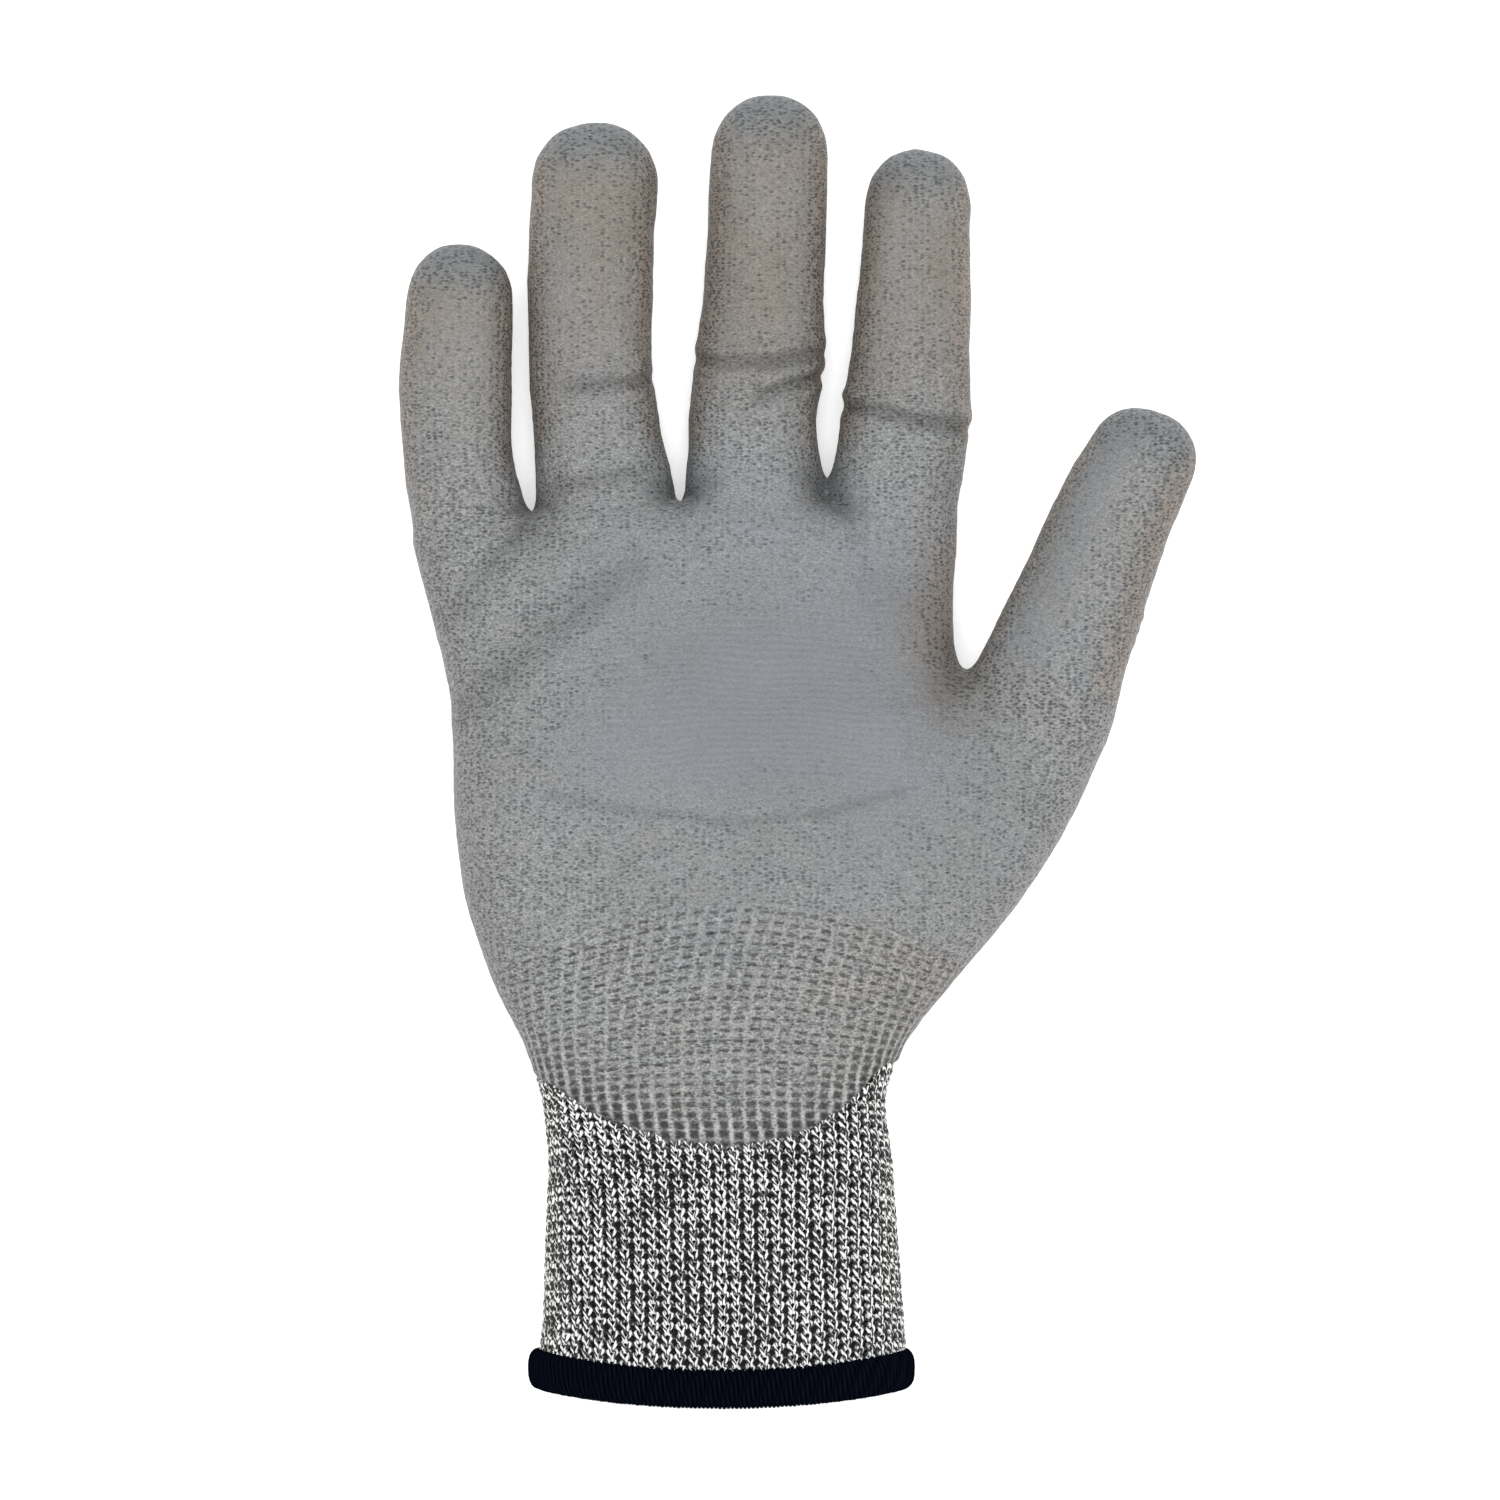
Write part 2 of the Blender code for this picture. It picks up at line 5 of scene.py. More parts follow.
import bpy
import numpy as np
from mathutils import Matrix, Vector


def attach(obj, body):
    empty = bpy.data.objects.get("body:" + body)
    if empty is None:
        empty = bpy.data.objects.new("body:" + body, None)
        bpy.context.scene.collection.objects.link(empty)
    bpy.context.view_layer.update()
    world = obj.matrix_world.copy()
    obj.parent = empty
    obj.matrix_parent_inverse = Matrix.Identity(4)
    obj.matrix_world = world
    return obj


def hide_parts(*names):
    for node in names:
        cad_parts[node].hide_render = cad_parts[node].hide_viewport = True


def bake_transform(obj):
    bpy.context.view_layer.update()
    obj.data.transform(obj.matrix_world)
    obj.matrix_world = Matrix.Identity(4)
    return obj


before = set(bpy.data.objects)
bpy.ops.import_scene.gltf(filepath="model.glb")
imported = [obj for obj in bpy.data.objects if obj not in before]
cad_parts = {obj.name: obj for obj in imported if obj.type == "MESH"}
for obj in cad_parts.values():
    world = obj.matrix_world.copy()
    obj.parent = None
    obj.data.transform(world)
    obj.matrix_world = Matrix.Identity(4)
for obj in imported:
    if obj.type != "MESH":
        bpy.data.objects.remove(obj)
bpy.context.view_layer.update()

MM = 0.001

# Skin
VOXEL = 1.25
SMOOTH_ROUNDS = 5
SMOOTH_STRENGTH = 0.6
# Places where the stalls run into the palm, smoothed more: x, y, radius, extra rounds.
SOFT_PLACES = (
    (-50.5, 45, 9, 6), (-22.1, 49, 8, 6), (6.1, 48.5, 8, 6), (30, 48, 12, 16), (-72, 47, 12, 16),
    (45, 4, 21, 44),
)
SKIN_LIFT = 0.12
FILM_PROUD = 0.7
SKIN_SIDES = 56
BODY_SIDES = 80
SQUARENESS = 0.94
PALM_SQUARENESS = 0.74

# Stations along each limb: distance from the base hinge, centre, half width, height, half thickness.
LITTLE = (
    (-7, -61.6, 9.6, 12.2, 8.8), (0, -62.8, 10.8, 11.9, 9.6), (6, -64, 10, 11.8, 9.4),
    (11.4, -64.8, 9.8, 11.6, 9.2), (25.7, -65.1, 10.1, 11.8, 9), (40, -64.2, 9.5, 12.4, 8.6),
)
RING = (
    (-7, -36.3, 12.6, 13, 10), (0, -36.4, 12.7, 12.8, 10.8), (5, -37.2, 11.9, 12.7, 10.7),
    (10, -38.1, 11.3, 12.6, 10.6), (19.5, -39.2, 11, 12.4, 10.4), (35, -39.4, 11.2, 12.4, 10),
    (56, -38.5, 11.4, 13.2, 9.4),
)
MIDDLE = (
    (-7, -7.9, 12.6, 13.2, 10.2), (0, -8.1, 12.5, 13, 11), (5, -8.2, 11.7, 12.9, 10.9),
    (10.7, -8.3, 11.4, 12.8, 10.8), (21, -7.2, 11.6, 12.6, 10.6), (34.5, -6, 10.8, 12.6, 10.2),
    (62, -5, 10.4, 13.4, 9.4),
)
INDEX = (
    (-7, 18, 11.4, 13, 10), (0, 19.2, 12.2, 12.8, 10.8), (5, 20.2, 11.8, 12.7, 10.7),
    (11, 21, 11.5, 12.6, 10.6), (25, 22, 10.5, 12.6, 10.2), (52, 23.2, 9.4, 13.2, 9.2),
)
THUMB = (
    (-12, 0.6, 12, 19.6, 10.4), (-5, 1.6, 14.6, 19.9, 11.4), (0, 1.5, 14.1, 20.2, 12),
    (9.9, 1, 12.4, 20.6, 11.4), (28, 1.1, 10.8, 21.4, 10.4), (38, 1, 10.3, 22, 9.6),
    (49.4, 2.3, 9.8, 22.4, 8.8),
)
THUMB_ORIGIN = (46.1, 10.9)
THUMB_ALONG = (0.379, 0.925)
THUMB_ROLL = math.radians(15)

# Palm and cuff: y, left edge, right edge, bottom, top.
BODY_SECTIONS = (
    (-128, -50.6, 21.4, 1.8, 47.8), (-110, -47.8, 20.3, 1.7, 45.9), (-90, -47.2, 18.8, 1.4, 44.2),
    (-78, -46.6, 18, 1.4, 43.7), (-66, -47.9, 16.2, 0.9, 43), (-55, -51.5, 20.2, 0.4, 41.2),
    (-44, -57, 29, 0.1, 39.6), (-29, -62.2, 41.6, 0.1, 38), (-14, -64.2, 51.6, 0.1, 36.4),
    (0, -64.6, 58.4, 0.1, 34.8), (6.5, -64.9, 44.5, 0.1, 33.8), (13, -65.6, 30, 0.1, 32.4),
    (27, -69.1, 29, 0.1, 29.6), (39, -72.3, 30, 0.3, 27.2), (45.5, -73.2, 30.6, 1.4, 25.6),
    (48.2, -71.4, 29.4, 4, 22),
)
BODY_STEP = 2.0
BODY_START_Y = -127.0
WEB_CENTRE_X = -8.0
WEB_DROP_LEFT = 5.2
WEB_DROP_RIGHT = 1.6
WEB_START_Y = 34.0
WEB_END_Y = 48.2

# Each digit: sections, base y, tip, length of its dome, start of its stall, seams, spans of the bends.
DIGITS = {
    "little": (LITTLE, 46.5, 49.1, 9.2, -0.4, (6.3, 20.5), ((0.6, 5.4), (7.2, 17.4), (22, 35))),
    "ring": (RING, 51.5, 67.6, 11, 0.5, (10.5, 31), ((1.4, 9.4), (12, 27), (34, 49))),
    "middle": (MIDDLE, 52, 72.3, 10.6, 0.2, (11, 33.5), ((1.1, 10), (12.5, 29.5), (38, 53))),
    "index": (INDEX, 51.5, 62.4, 10, 0.2, (7.2, 26), ((1.1, 6.2), (8.3, 20), (31, 45.5))),
    "thumb": (THUMB, 0, 57.3, 8, -2, (14,), ((-1, 12.6), (17, 37))),
}
FINGERS = ("little", "ring", "middle", "index")

# Wrist
WRIST_SEAM_Y = -64.0
WRIST_START = (-0.014, -0.067, 0.022)
WRIST_END = (-0.014, -0.087, 0.022)
COAT_BACK_EDGE = 9.7
COAT_LOWER_EDGE = (
    (-90, -58), (-49.7, -62.1), (-37.3, -69.7), (-24, -74.2), (-12.5, -75.6), (0, -73.2), (8.4, -68.8),
    (17, -60.2), (60, -50),
)
DIVE_DEPTH = 1.5
BACK_DIVE_Y = -58.5

# Cuff knit
WALES = 68
WALE_FRONT_PITCH = (2.62, 3.15)
COURSE_PITCH = (1.79, 2.04)
ARCH = 0.0066
ARCH_SPAN = (-80, -32)
COARSE_CENTRE_X = -10.7
CUFF_EDGE_Y = -117.1
CUFF_EDGE_SAG = 3.0
CUFF_TOP_Y = -57.0
CUFF_SPLIT_Y = -88.0
YARN_RADIUS = 0.37
LOOP_STEPS = 14
LOOP_SIDES = 6
LOOP_LEAN = 0.25
LOOP_NARROW = 0.08
LOOP_HEIGHT = 0.72
LOOP_DEPTH = 0.34
# The open cell between two loops lies this far below a course.
CELL_SHIFT = 0.22
SINK_DEPTH = 1.4
LINING_INSET = 1.6

# Hem
HEM_HEIGHT = 6.8
HEM_OUT = 1.35
HEM_IN = -2.3
HEM_TOP_Y = -115.8
WRAP_PITCH = 0.78
WRAP_STEPS = 22
WRAP_SIDES = 6
WRAP_RADIUS = 0.42
HEM_RISE = 1.6
HEM_CORE_INSET = 0.35
HEM_SAMPLES = 2881
HEM_RINGS = 240
HEM_SIDES = 20


# ---- small maths
def ramp(low, high, value):
    """0 at low, 1 at high and smooth between."""
    t = np.clip((np.asarray(value, float) - low) / (high - low), 0, 1)
    return t * t * (3.0 - 2.0 * t)


def signed_power(value, power):
    return np.sign(value) * np.abs(value) ** power


def turns(count):
    """Evenly spaced angles once round a circle."""
    return np.linspace(0, 2 * math.pi, count, endpoint=False)


def bell(x):
    return np.exp(-(x**2))


def unit(v):
    v = np.asarray(v, float)
    return v / np.linalg.norm(v, axis=-1, keepdims=True)


def hashed(*keys):
    """A repeatable random number from 0 to 1 for each set of keys."""
    total = np.zeros(np.broadcast(*keys).shape)
    for n, key in enumerate(keys):
        total = total + np.asarray(key, float) * (12.9898 + 65.233 * n)
    return np.mod(np.abs(np.sin(total) * 43758.5453), 1)


def noise(points, scale, seed=0.0):
    """Smooth noise from -1 to 1, with features of this size in millimetres."""
    p = points / scale + seed
    base = np.floor(p)
    f = p - base
    f = f * f * (3 - 2 * f)
    total = np.zeros(len(p))
    for corner in np.ndindex(2, 2, 2):
        w = np.where(corner, f, 1 - f)
        total += w[:, 0] * w[:, 1] * w[:, 2] * hashed(*(base + corner).T)
    return total * 2 - 1


def film_edge_y(x):
    """Where the film ends over the wrist, on the palm side."""
    return np.interp(x, *np.array(COAT_LOWER_EDGE).T)


# ---- limbs
class Limb:
    """A tube along a straight line, with its section given at stations."""

    def __init__(self, origin, along, up, sections):
        self.origin = np.array(origin, float)
        self.along = unit(along)
        self.up = unit(up)
        self.side = np.cross(self.along, self.up)
        self.table = np.array(sections)

    def section(self, s):
        """Centre, half width, height and half thickness at this distance along the limb."""
        return [np.interp(s, self.table[:, 0], self.table[:, k]) for k in range(1, 5)]

    def ring(self, s, scale=1.0):
        turn = turns(SKIN_SIDES)
        centre, half_width, height, half_thick = self.section(s)
        side = centre + signed_power(np.cos(turn), SQUARENESS) * half_width * scale
        rise = height + signed_power(np.sin(turn), SQUARENESS) * half_thick * scale
        return self.origin + self.along * s + np.outer(side, self.side) + np.outer(rise, self.up)

    def local(self, points):
        """Distance along the limb, to its side and above it."""
        rel = points - self.origin
        return rel @ self.along, rel @ self.side, rel @ self.up


def make_limb(name):
    sections, base_y = DIGITS[name][:2]
    if name != "thumb":
        return Limb((0, base_y, 0), (0, 1, 0), (0, 0, 1), sections)
    along = unit((*THUMB_ALONG, 0))
    left = np.array((-along[1], along[0], 0))
    up = np.array((0, 0, math.cos(THUMB_ROLL))) + left * math.sin(THUMB_ROLL)
    height = sections[0][3]
    origin = np.array((*THUMB_ORIGIN, height)) - up * height
    return Limb(origin, along, up, sections)


LIMBS = {name: make_limb(name) for name in DIGITS}


def limb_rings(name):
    limb = LIMBS[name]
    tip, dome = DIGITS[name][2:4]
    rings = [limb.ring(s) for s in np.arange(-13.0, tip - dome, 2.0)]
    for angle in np.radians(np.arange(0, 86, 9)):
        rings.append(limb.ring(tip - dome + dome * math.sin(angle), math.cos(angle) ** 0.92))
    return rings


def distances(line):
    """Distance along a line of points, from its first point to each."""
    return np.concatenate([[0], np.cumsum(np.linalg.norm(np.diff(line, axis=0), axis=1))])


# ---- palm and cuff tube
BODY_Y = np.arange(BODY_SECTIONS[0][0], WEB_END_Y + 0.01, 0.5)


def body_table():
    source = np.array(BODY_SECTIONS)
    reach = 12
    kernel = np.exp(-0.5 * (np.arange(-reach, reach + 1) / 5.0) ** 2)
    kernel /= kernel.sum()
    columns = []
    for k in range(1, 5):
        line = np.interp(BODY_Y, source[:, 0], source[:, k])
        padded = np.pad(line, reach, mode="reflect", reflect_type="odd")
        columns.append(np.convolve(padded, kernel, "valid"))
    return columns


BODY = body_table()


def body_section(y):
    """Centre x, half width, centre z and half height of the palm and cuff at y."""
    left, right, bottom, top = (np.interp(y, BODY_Y, column) for column in BODY)
    return (left + right) / 2, (right - left) / 2, (bottom + top) / 2, (top - bottom) / 2


def body_point(y, turn):
    """A point on the palm and cuff tube. Turn 0 is +X and a quarter turn is the palm side."""
    cx, a, cz, b = body_section(y)
    x = cx + signed_power(np.cos(turn), PALM_SQUARENESS) * a
    z = cz + signed_power(np.sin(turn), PALM_SQUARENESS) * b
    return np.stack([x, y + 0 * x, z], -1)


def body_rings(first, last, inset=0.0):
    turn = turns(BODY_SIDES)
    rings = []
    for y in np.arange(first, last + 0.01, BODY_STEP):
        ring = body_point(np.full(turn.shape, y), turn)
        if inset:
            cx, a, cz, b = body_section(y)
            ring[:, 0] = cx + (ring[:, 0] - cx) * (a - inset) / a
            ring[:, 2] = cz + (ring[:, 2] - cz) * (b - inset) / b
        if y > WEB_START_Y:
            off = ring[:, 0] - WEB_CENTRE_X
            cx, a = body_section(y)[:2]
            reach = np.where(off < 0, WEB_CENTRE_X - (cx - a), cx + a - WEB_CENTRE_X)
            drop = np.where(off < 0, WEB_DROP_LEFT, WEB_DROP_RIGHT) * (off / reach) ** 2
            ring[:, 1] -= drop * (y - WEB_START_Y) / (WEB_END_Y - WEB_START_Y)
        rings.append(ring)
    return rings


ARC_Y = np.arange(BODY_SECTIONS[0][0], 30.0, BODY_STEP)
ARC_TURN = np.linspace(-math.pi, math.pi, 721)


def arc_tables():
    """Distance round the tube from the middle of the palm side, by y and by turn from there."""
    arcs = []
    for y in ARC_Y:
        ring = body_point(np.full(ARC_TURN.shape, y), math.pi / 2 - ARC_TURN)
        arc = distances(ring)
        arcs.append(arc - arc[len(arc) // 2])
    return np.array(arcs)


ARCS = arc_tables()


def arc_row(y):
    k = np.clip((y - ARC_Y[0]) / BODY_STEP, 0, len(ARC_Y) - 1.001)
    i = int(k)
    return ARCS[i] + (ARCS[i + 1] - ARCS[i]) * (k - i)


def wale_stretch(y, half):
    pitch = np.interp(y, (-88, -32), WALE_FRONT_PITCH)
    return pitch * WALES / (2 * half)


def wale_to_turn(y, wale):
    """Turn round the tube of wale number wale, counted from the middle of the palm side."""
    arc = arc_row(y)
    half = arc[-1]
    b = wale_stretch(y, half)
    t = np.mod(wale + WALES / 2, WALES) / (WALES / 2) - 1
    s = half * (b * t + (1 - b) * t**3)
    return math.pi / 2 - np.interp(s, arc, ARC_TURN)


COURSE_Y = np.arange(-130.0, 60.0, 0.5)
COURSE_COUNT = np.concatenate([[0], np.cumsum(0.5 / np.interp(COURSE_Y, (-86, -55), COURSE_PITCH))[:-1]])


def course_of(y):
    return np.interp(y, COURSE_Y, COURSE_COUNT)


def y_of_course(course):
    return np.interp(course, COURSE_COUNT, COURSE_Y)


def arch(x, y):
    return ARCH * ramp(*ARCH_SPAN, y) * (x - COARSE_CENTRE_X) ** 2


# ---- mesh helpers
def linked(obj):
    bpy.context.scene.collection.objects.link(obj)
    return obj


def mesh_object(name, points, faces):
    mesh = bpy.data.meshes.new(name)
    faces = np.asarray(faces, np.int32)
    mesh.vertices.add(len(points))
    mesh.vertices.foreach_set("co", (np.asarray(points, np.float32) * MM).ravel())
    mesh.loops.add(faces.size)
    mesh.loops.foreach_set("vertex_index", faces.ravel())
    mesh.polygons.add(len(faces))
    mesh.polygons.foreach_set("loop_start", np.arange(0, faces.size, faces.shape[1], dtype=np.int32))
    mesh.polygons.foreach_set("use_smooth", np.ones(len(faces), bool))
    mesh.update(calc_edges=True)
    return linked(bpy.data.objects.new(name, mesh))


def dress(obj, material, slot):
    obj.data.materials.append(material)


def grid_faces(rows, columns, close_rows=False):
    """Quads of a grid of points that closes round each row."""
    i = np.arange(rows if close_rows else rows - 1)[:, None]
    j = np.arange(columns)[None, :]
    across, up = (j + 1) % columns, (i + 1) % rows * columns
    corners = [i * columns + j, i * columns + across, up + across, up + j]
    return np.stack(corners, -1).reshape(-1, 4)


def add_attributes(obj, **named):
    for name, values in named.items():
        attribute = obj.data.attributes.new(name, "FLOAT", "POINT")
        attribute.data.foreach_set("value", np.asarray(values, np.float32))


def joined(parts):
    """Points and faces of several meshes as one."""
    starts = np.cumsum([0] + [len(points) for points, _ in parts])
    faces = [part[1] + start for part, start in zip(parts, starts)]
    return np.concatenate([part[0] for part in parts]), np.concatenate(faces)


def closed_tube(rings):
    """A closed tube through these rings."""
    ends = []
    for ring in (rings[0], rings[-1]):
        middle = ring.mean(axis=0)
        ends.append([middle + (ring - middle) * share for share in (0.66, 0.33, 0.02)])
    rows = [*reversed(ends[0]), *rings, *ends[1]]
    return np.concatenate(rows), grid_faces(len(rows), len(rings[0]))


# ---- the skin
def remeshed_skin():
    """One closed skin round the palm, cuff and digits."""
    parts = [closed_tube(body_rings(BODY_START_Y, WEB_END_Y))]
    parts += [closed_tube(limb_rings(name)) for name in DIGITS]
    obj = mesh_object("skin_source", *joined(parts))
    remesh = obj.modifiers.new("remesh", "REMESH")
    remesh.mode = "VOXEL"
    remesh.voxel_size = VOXEL * MM
    return evaluated_mesh(obj)


def evaluated_mesh(obj):
    """Points and quads of the object with its modifiers applied. The object is removed."""
    evaluated = obj.evaluated_get(bpy.context.evaluated_depsgraph_get())
    mesh = evaluated.to_mesh()
    co = np.empty(len(mesh.vertices) * 3, np.float32)
    mesh.vertices.foreach_get("co", co)
    loops = np.empty(len(mesh.loops), np.int32)
    mesh.loops.foreach_get("vertex_index", loops)
    assert len(loops) == 4 * len(mesh.polygons)
    evaluated.to_mesh_clear()
    bpy.data.objects.remove(obj)
    return co.reshape(-1, 3).astype(float) / MM, loops.reshape(-1, 4)


def edges_of(faces):
    pairs = np.concatenate([faces[:, [k, (k + 1) % 4]] for k in range(4)])
    return np.unique(np.sort(pairs, axis=1), axis=0)


def neighbour_mean(values, edges, degree):
    total = np.empty_like(values)
    for k in range(values.shape[1]):
        total[:, k] = np.bincount(edges[:, 0], values[edges[:, 1], k], len(values))
        total[:, k] += np.bincount(edges[:, 1], values[edges[:, 0], k], len(values))
    return total / degree[:, None]


def smoothed(points, edges):
    degree = np.bincount(edges.ravel(), minlength=len(points)).astype(float)

    def eased(points, share):
        return points + share * (neighbour_mean(points, edges, degree) - points)

    for _ in range(SMOOTH_ROUNDS):
        points = eased(points, SMOOTH_STRENGTH)
    for x, y, radius, extra in SOFT_PLACES:
        share = np.exp(-((np.hypot(points[:, 0] - x, points[:, 1] - y) / radius) ** 4))[:, None]
        for _ in range(extra):
            points = eased(points, SMOOTH_STRENGTH * share)
    return points


def subdivided(points, faces):
    """The same surface with each face cut in four and rounded (Catmull-Clark)."""
    obj = mesh_object("skin_source", points, faces)
    divide = obj.modifiers.new("divide", "SUBSURF")
    divide.levels = 1
    divide.render_levels = 1
    return evaluated_mesh(obj)


def vertex_normals(points, faces):
    a, b, c, d = points[faces].transpose(1, 0, 2)
    face_normals = np.cross(c - a, d - b)
    normals = np.zeros_like(points)
    for k in range(4):
        for axis in range(3):
            normals[:, axis] += np.bincount(faces[:, k], face_normals[:, axis], len(points))
    return normals / np.maximum(np.linalg.norm(normals, axis=1, keepdims=True), 1e-9)


def digit_of(points):
    """For each point, the digit whose stall it is on, or an empty string on the palm and cuff."""
    owner = np.full(len(points), "", dtype="<U8")
    off = []
    for name in FINGERS:
        s, side = LIMBS[name].local(points)[:2]
        centre, half_width = LIMBS[name].section(s)[:2]
        off.append(np.abs(side - centre) / half_width)
    finger = np.array(FINGERS)[np.argmin(off, axis=0)]
    for name, limb in LIMBS.items():
        s, side = limb.local(points)[:2]
        start = DIGITS[name][4]
        if name == "thumb":
            reach = 15.0 + 0.35 * np.maximum(s + 4, 0)
            owner[(s > start) & (side > -reach) & (side < 30)] = name
        else:
            owner[(s > start) & (finger == name) & (points[:, 1] > 40)] = name
    return owner


def segments(name):
    return ("proximal", "tip") if name == "thumb" else ("proximal", "middle", "tip")


# Creases pressed into the palm side: points in x and y with rising x, width, depth, height of the lips.
CREASES = (
    (((-43, 68.6), (-38, 69), (-32.5, 69.6), (-28.2, 70.6)), 1.5, 0.6, 0.5),
    (((-45, 49.6), (-38, 50.8), (-31, 52.4)), 1.6, 0.35, 0.25),
    (((-19, 74.4), (-13, 73.4), (-6, 73.6), (4, 75.4)), 1.5, 0.7, 0.75),
    (((-7.5, 66.8), (-2, 69), (5.2, 71.9)), 1.4, 0.75, 0.8),
    (((9, 65.5), (15, 64.4), (24, 62.2), (33, 61)), 1.5, 0.8, 0.85),
    (((-51, -8), (-30, -11.8), (-10.7, -14), (5, -12.2), (20, -8)), 0.7, 0.34, 0),
)
# Broad soft folds: points in x and y, half width, height.
FOLDS = (
    (((-66, 19), (-50, 31), (-34, 38)), 3.2, 0.75), (((-62, 11), (-47, 24), (-30, 33)), 3, -0.65),
    (((-67, 30), (-58, 37), (-52.5, 43)), 2.2, -0.55), (((-20, 6), (0, 14), (26, 20)), 6, -0.6),
    (((-50, 43), (-44, 40.5), (-36, 41)), 1.8, -0.6), (((6.1, 49), (11, 44), (14, 37)), 2, -0.7),
    (((-22, 50), (-21, 44), (-17, 38)), 1.8, -0.45), (((32, 10.5), (27, 4), (20, -3)), 2.6, -0.8),
    (((33.5, 9), (34, 0), (31, -10)), 2.4, -0.5), (((29, 18), (22, 26), (12, 33)), 4, 0.5),
    (((-50.5, 44.5), (-56, 40), (-61, 33)), 1.2, -0.45), (((-50, 44), (-47, 37), (-46, 29)), 1.2, -0.4),
    (((31.5, 12), (24, 10), (16, 8)), 1.6, -0.45), (((32.5, 10), (38, 4), (46, 1)), 1.8, -0.45),
    (((33, 9), (31, 0), (25, -9)), 1.3, -0.4), (((-72, 4), (-56, 15), (-38, 25)), 3.4, -0.5),
)

# Darker bands of painted shade along the folds and a crease of the film: points in x and y, half width, strength.
BANDS = (
    (((-63, 8), (-49, 22), (-31, 34)), 3.8, 0.5),
    (((-66, 24), (-58, 33), (-51, 42)), 2.6, 0.4),
    (((31.5, 12), (25, 22), (14, 30)), 4.5, 0.28),
    (((32.5, 9), (38, -4), (47, -14)), 5, 0.12),
    (((-28, 50), (-22, 47), (-15, 51)), 1.8, 0.45),
    (((1, 52), (6.5, 47), (12, 45)), 2, 0.5),
    (((-51, -8), (-30, -11.8), (-10.7, -14), (5, -12.2), (20, -8)), 0.8, 0.4),
)

# Painted shade in the dark corners where two stalls meet: x, y, strength.
SHADE_CORNER_RADIUS = math.sqrt(30)
SHADE_CORNERS = ((-50, 44, 0.8), (-22.1, 49.5, 0.8), (6.1, 48.5, 0.8), (29.5, 11.5, 0.45))


def line_distance(x, y, line):
    """Distance from each point to a line, and how far along the line that is, from 0 to 1."""
    best = np.full(len(x), 1e9)
    share = np.zeros(len(x))
    count = len(line) - 1
    for n, ((x0, y0), (x1, y1)) in enumerate(zip(line, line[1:])):
        dx, dy = x1 - x0, y1 - y0
        t = np.clip(((x - x0) * dx + (y - y0) * dy) / (dx * dx + dy * dy), 0, 1)
        d = np.hypot(x - x0 - t * dx, y - y0 - t * dy)
        closer = d < best
        best[closer] = d[closer]
        share[closer] = ((n + t) / count)[closer]
    return best, share


def relief(points, normals):
    """How far the skin stands out or in, in millimetres, from wrinkles and folds."""
    x, y, _ = points.T
    front = ramp(0.05, 0.5, normals[:, 2])
    round_edge = ramp(-0.5, 0.2, normals[:, 2])
    height = np.zeros(len(points))
    for line, width, depth, lips in CREASES:
        d, t = line_distance(x, y, line)
        fade = ramp(0, 0.15, t) * ramp(0, 0.15, 1 - t) * 0.7 + 0.3
        d = d + 0.35 * noise(points, 3, 7)
        above = y > np.interp(x, *np.array(line).T)
        height -= round_edge * fade * depth * bell(d / (0.75 * width))
        swell = bell((d - 1.5 * width) / (1.1 * width))
        height += round_edge * fade * lips * swell * np.where(above, 1.6, 0.5)
    for line, width, size in FOLDS:
        d, t = line_distance(x, y, line)
        fade = ramp(0, 0.3, t) * ramp(0, 0.3, 1 - t)
        height += 1.4 * front * fade * size * bell(d / width)
    height += 0.24 * noise(points, 11, 3) + 0.12 * noise(points, 4.5, 5)
    return height + 0.07 * noise(points, 1.5, 8)


def knuckles(name, s, rise_share):
    """Small cross wrinkles over the back of each joint."""
    height = np.zeros(len(s))
    for centre in DIGITS[name][5]:
        for k in (-1, 0, 1):
            height += 0.25 * bell((s - centre - 4.0 - 2.6 * k) / 0.9)
    return height * ramp(0.2, -0.5, rise_share)


def limb_knit(name, points):
    """Distance across the back of a digit and up its sides, and distance along it."""
    limb = LIMBS[name]
    s, side, rise = limb.local(points)
    centre, _, height, half_thick = limb.section(s)
    up = np.maximum(rise - height + half_thick, 0)
    return side + np.sign(side - centre) * up, s + limb.origin[1]


